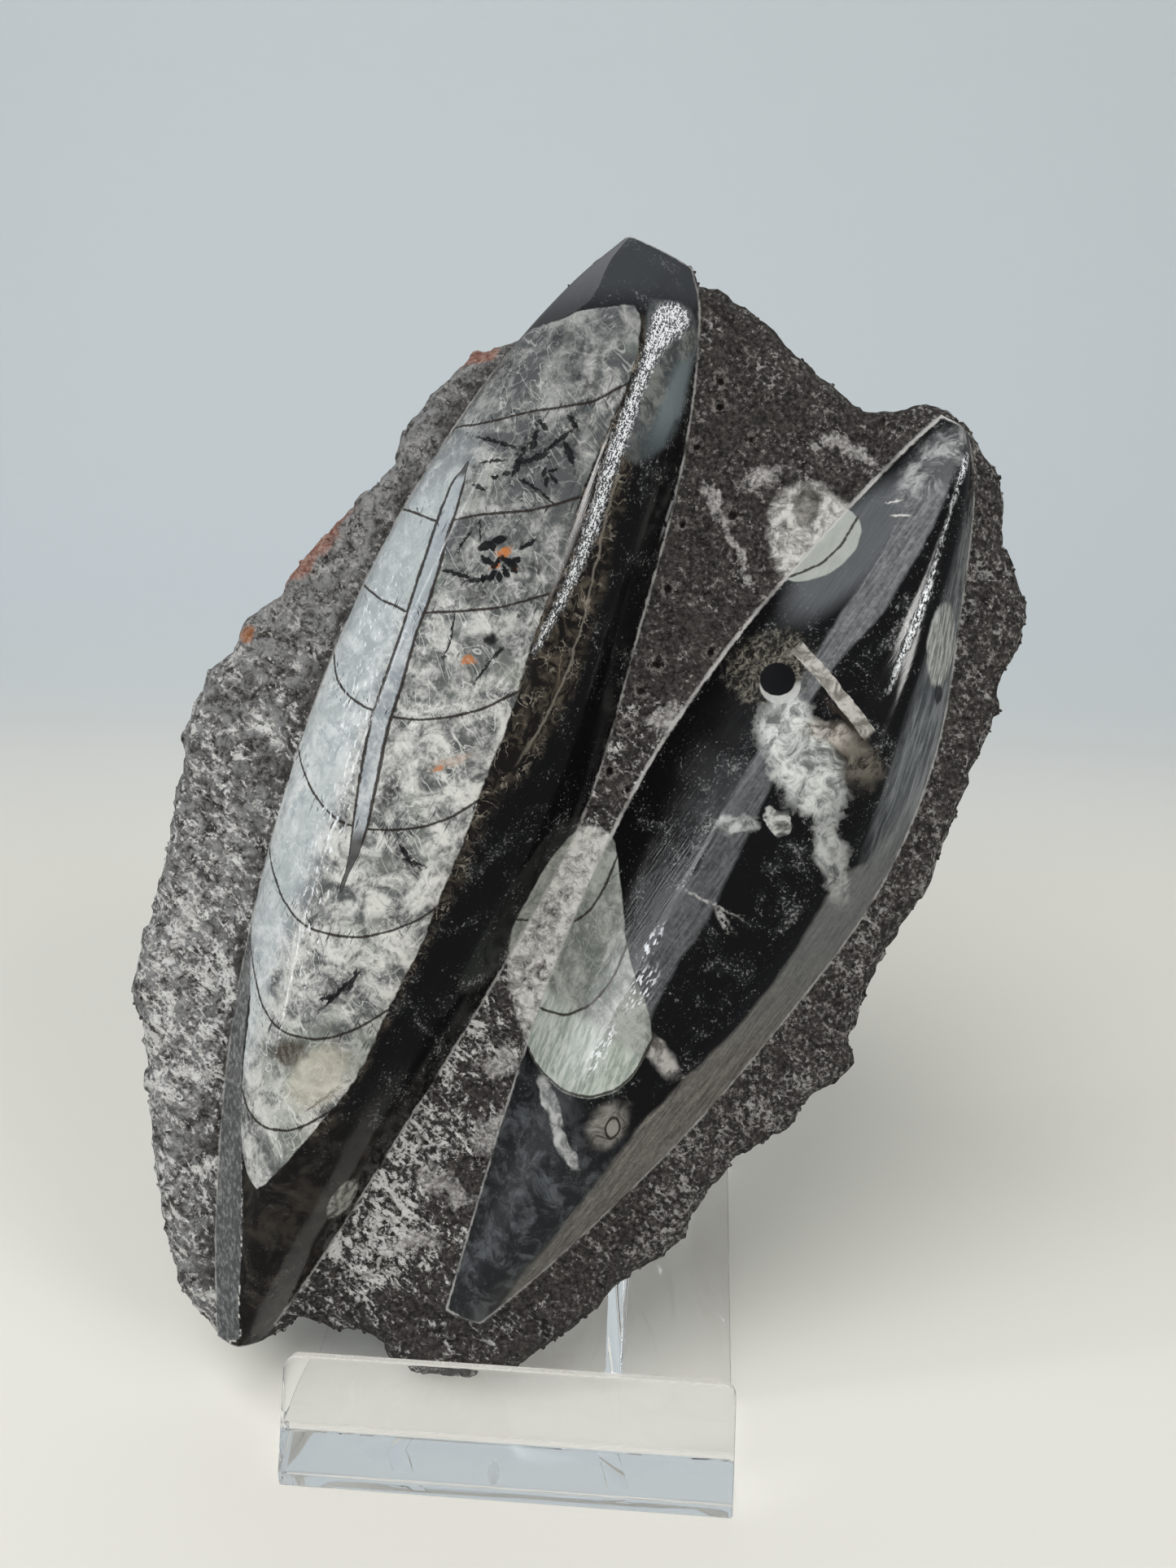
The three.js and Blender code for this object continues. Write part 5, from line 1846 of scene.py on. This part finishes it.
@dataclass
class Studio:
    """A pale floor that sweeps up to a cool backdrop, soft lights and the camera."""

    floor_half: float = 1.4
    front: float = -1.0
    bend_start: float = 0.3
    bend_radius: float = 0.3
    bend_steps: int = 12
    top: float = 1.6
    sink: float = 0.0002
    eye: tuple[float, float, float] = (27.27, -199.06, 200.0)
    look: tuple[float, float, float] = (66.1, 0.0, 4.8)
    focus_pixels: float = 1660.0
    sensor: float = 36.0
    sky: Colour = (0.9, 0.95, 1.0)
    sky_strength: float = 0.13
    clear_bounces: int = 36

    def floor(self) -> bpy.types.Object:
        """The floor and backdrop, one sheet."""
        profile = [(self.front, -self.sink), (self.bend_start, -self.sink)]
        for k in range(self.bend_steps):
            angle = math.pi / 2 * (k + 1) / self.bend_steps
            forward, up = math.sin(angle), 1 - math.cos(angle)
            profile.append((self.bend_start + self.bend_radius * forward, self.bend_radius * up - self.sink))
        profile.append((profile[-1][0], self.top))
        points = [(x, y, z) for y, z in profile for x in (-self.floor_half, self.floor_half)]
        faces = [(2 * k, 2 * k + 1, 2 * k + 3, 2 * k + 2) for k in range(len(profile) - 1)]
        mesh = bpy.data.meshes.new("studio_sweep")
        mesh.from_pydata(points, [], faces)
        mesh.shade_smooth()
        mesh.materials.append(PaleSweep().make())
        sweep = new_object("studio_sweep", mesh)
        sweep.visible_glossy = False
        return sweep

    def light(
        self, name: str, place: tuple, target: tuple, size: tuple, watts: float, colour: Colour
    ) -> bpy.types.Object:
        """Hang a soft rectangular light.

        Args:
            name: its name.
            place: where it hangs, in metres.
            target: what it points at.
            size: its width and height.
            watts: its power.
            colour: its colour.

        Returns:
            The light.
        """
        lamp = bpy.data.lights.new(name, "AREA")
        lamp.shape = "RECTANGLE"
        lamp.size, lamp.size_y = size
        lamp.energy = watts
        lamp.color = colour
        hung = new_object(name, lamp)
        hung.location = place
        hung.rotation_euler = (Vector(target) - Vector(place)).to_track_quat("-Z", "Y").to_euler()
        return hung

    def camera(self) -> None:
        """Set the camera at the photograph's place and angle."""
        lens = bpy.data.cameras.new("camera")
        lens.sensor_fit = "VERTICAL"
        lens.sensor_height = self.sensor
        lens.lens = self.focus_pixels / PHOTO_HEIGHT * self.sensor
        lens.clip_start = 0.01
        eye = new_object("camera", lens)
        eye.location = Vector(self.eye) * MM
        eye.rotation_euler = Euler([math.radians(angle) for angle in self.look])
        bpy.context.scene.camera = eye

    def build(self) -> None:
        """Set up the floor, the lights, the world and the camera."""
        self.floor()
        middle = (0.0, 0.0, 0.1)
        overhead = self.light("overhead", (-0.28, -0.42, 1.0), middle, (0.9, 0.8), 10.5, (0.98, 0.99, 1.0))
        fill = self.light("fill", (0.8, -0.5, 0.8), middle, (0.6, 0.6), 4.0, (1.0, 0.99, 0.97))
        for soft in (overhead, fill):
            soft.visible_glossy = False
            soft.visible_transmission = False
        strip_target = (-0.02, 0.02, 0.11)
        self.light("left_strip", (-0.86, -0.19, 0.42), strip_target, (0.035, 0.9), 1.6, (0.96, 0.98, 1.0))
        self.light("right", (0.76, -0.52, 0.38), (0.02, 0.03, 0.15), (0.15, 0.2), 1.2, (1.0, 0.99, 0.97))
        world = bpy.data.worlds.new("studio")
        world.use_nodes = True
        sky = world.node_tree.nodes["Background"].inputs
        sky["Color"].default_value = (*self.sky, 1.0)
        sky["Strength"].default_value = self.sky_strength
        scene = bpy.context.scene
        scene.world = world
        scene.view_settings.view_transform = "Standard"
        scene.cycles.max_bounces = self.clear_bounces
        scene.cycles.transmission_bounces = self.clear_bounces
        scene.cycles.glossy_bounces = self.clear_bounces
        self.camera()


def main() -> None:
    """Build the dressed part round its frame."""
    logging.basicConfig(level=logging.INFO, format="%(message)s")
    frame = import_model()
    rough = RoughStone().make()
    stone = FossilStone().build([TallPolish().make(), LongPolish().make(), rough])
    grains = RockGrains().build(stone, rough)
    for piece in (stone, grains):
        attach(piece, BODY)
    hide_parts("fossil_slab")
    easel = Easel().build(frame["nodes"]["easel_stand"], ClearAcrylic().make())
    easel.visible_shadow = False
    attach(easel, BODY)
    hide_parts("easel_stand")
    Studio().build()
    for piece in (stone, grains, easel):
        log.info("built %s", piece.name)


if __name__ == "__main__":
    main()
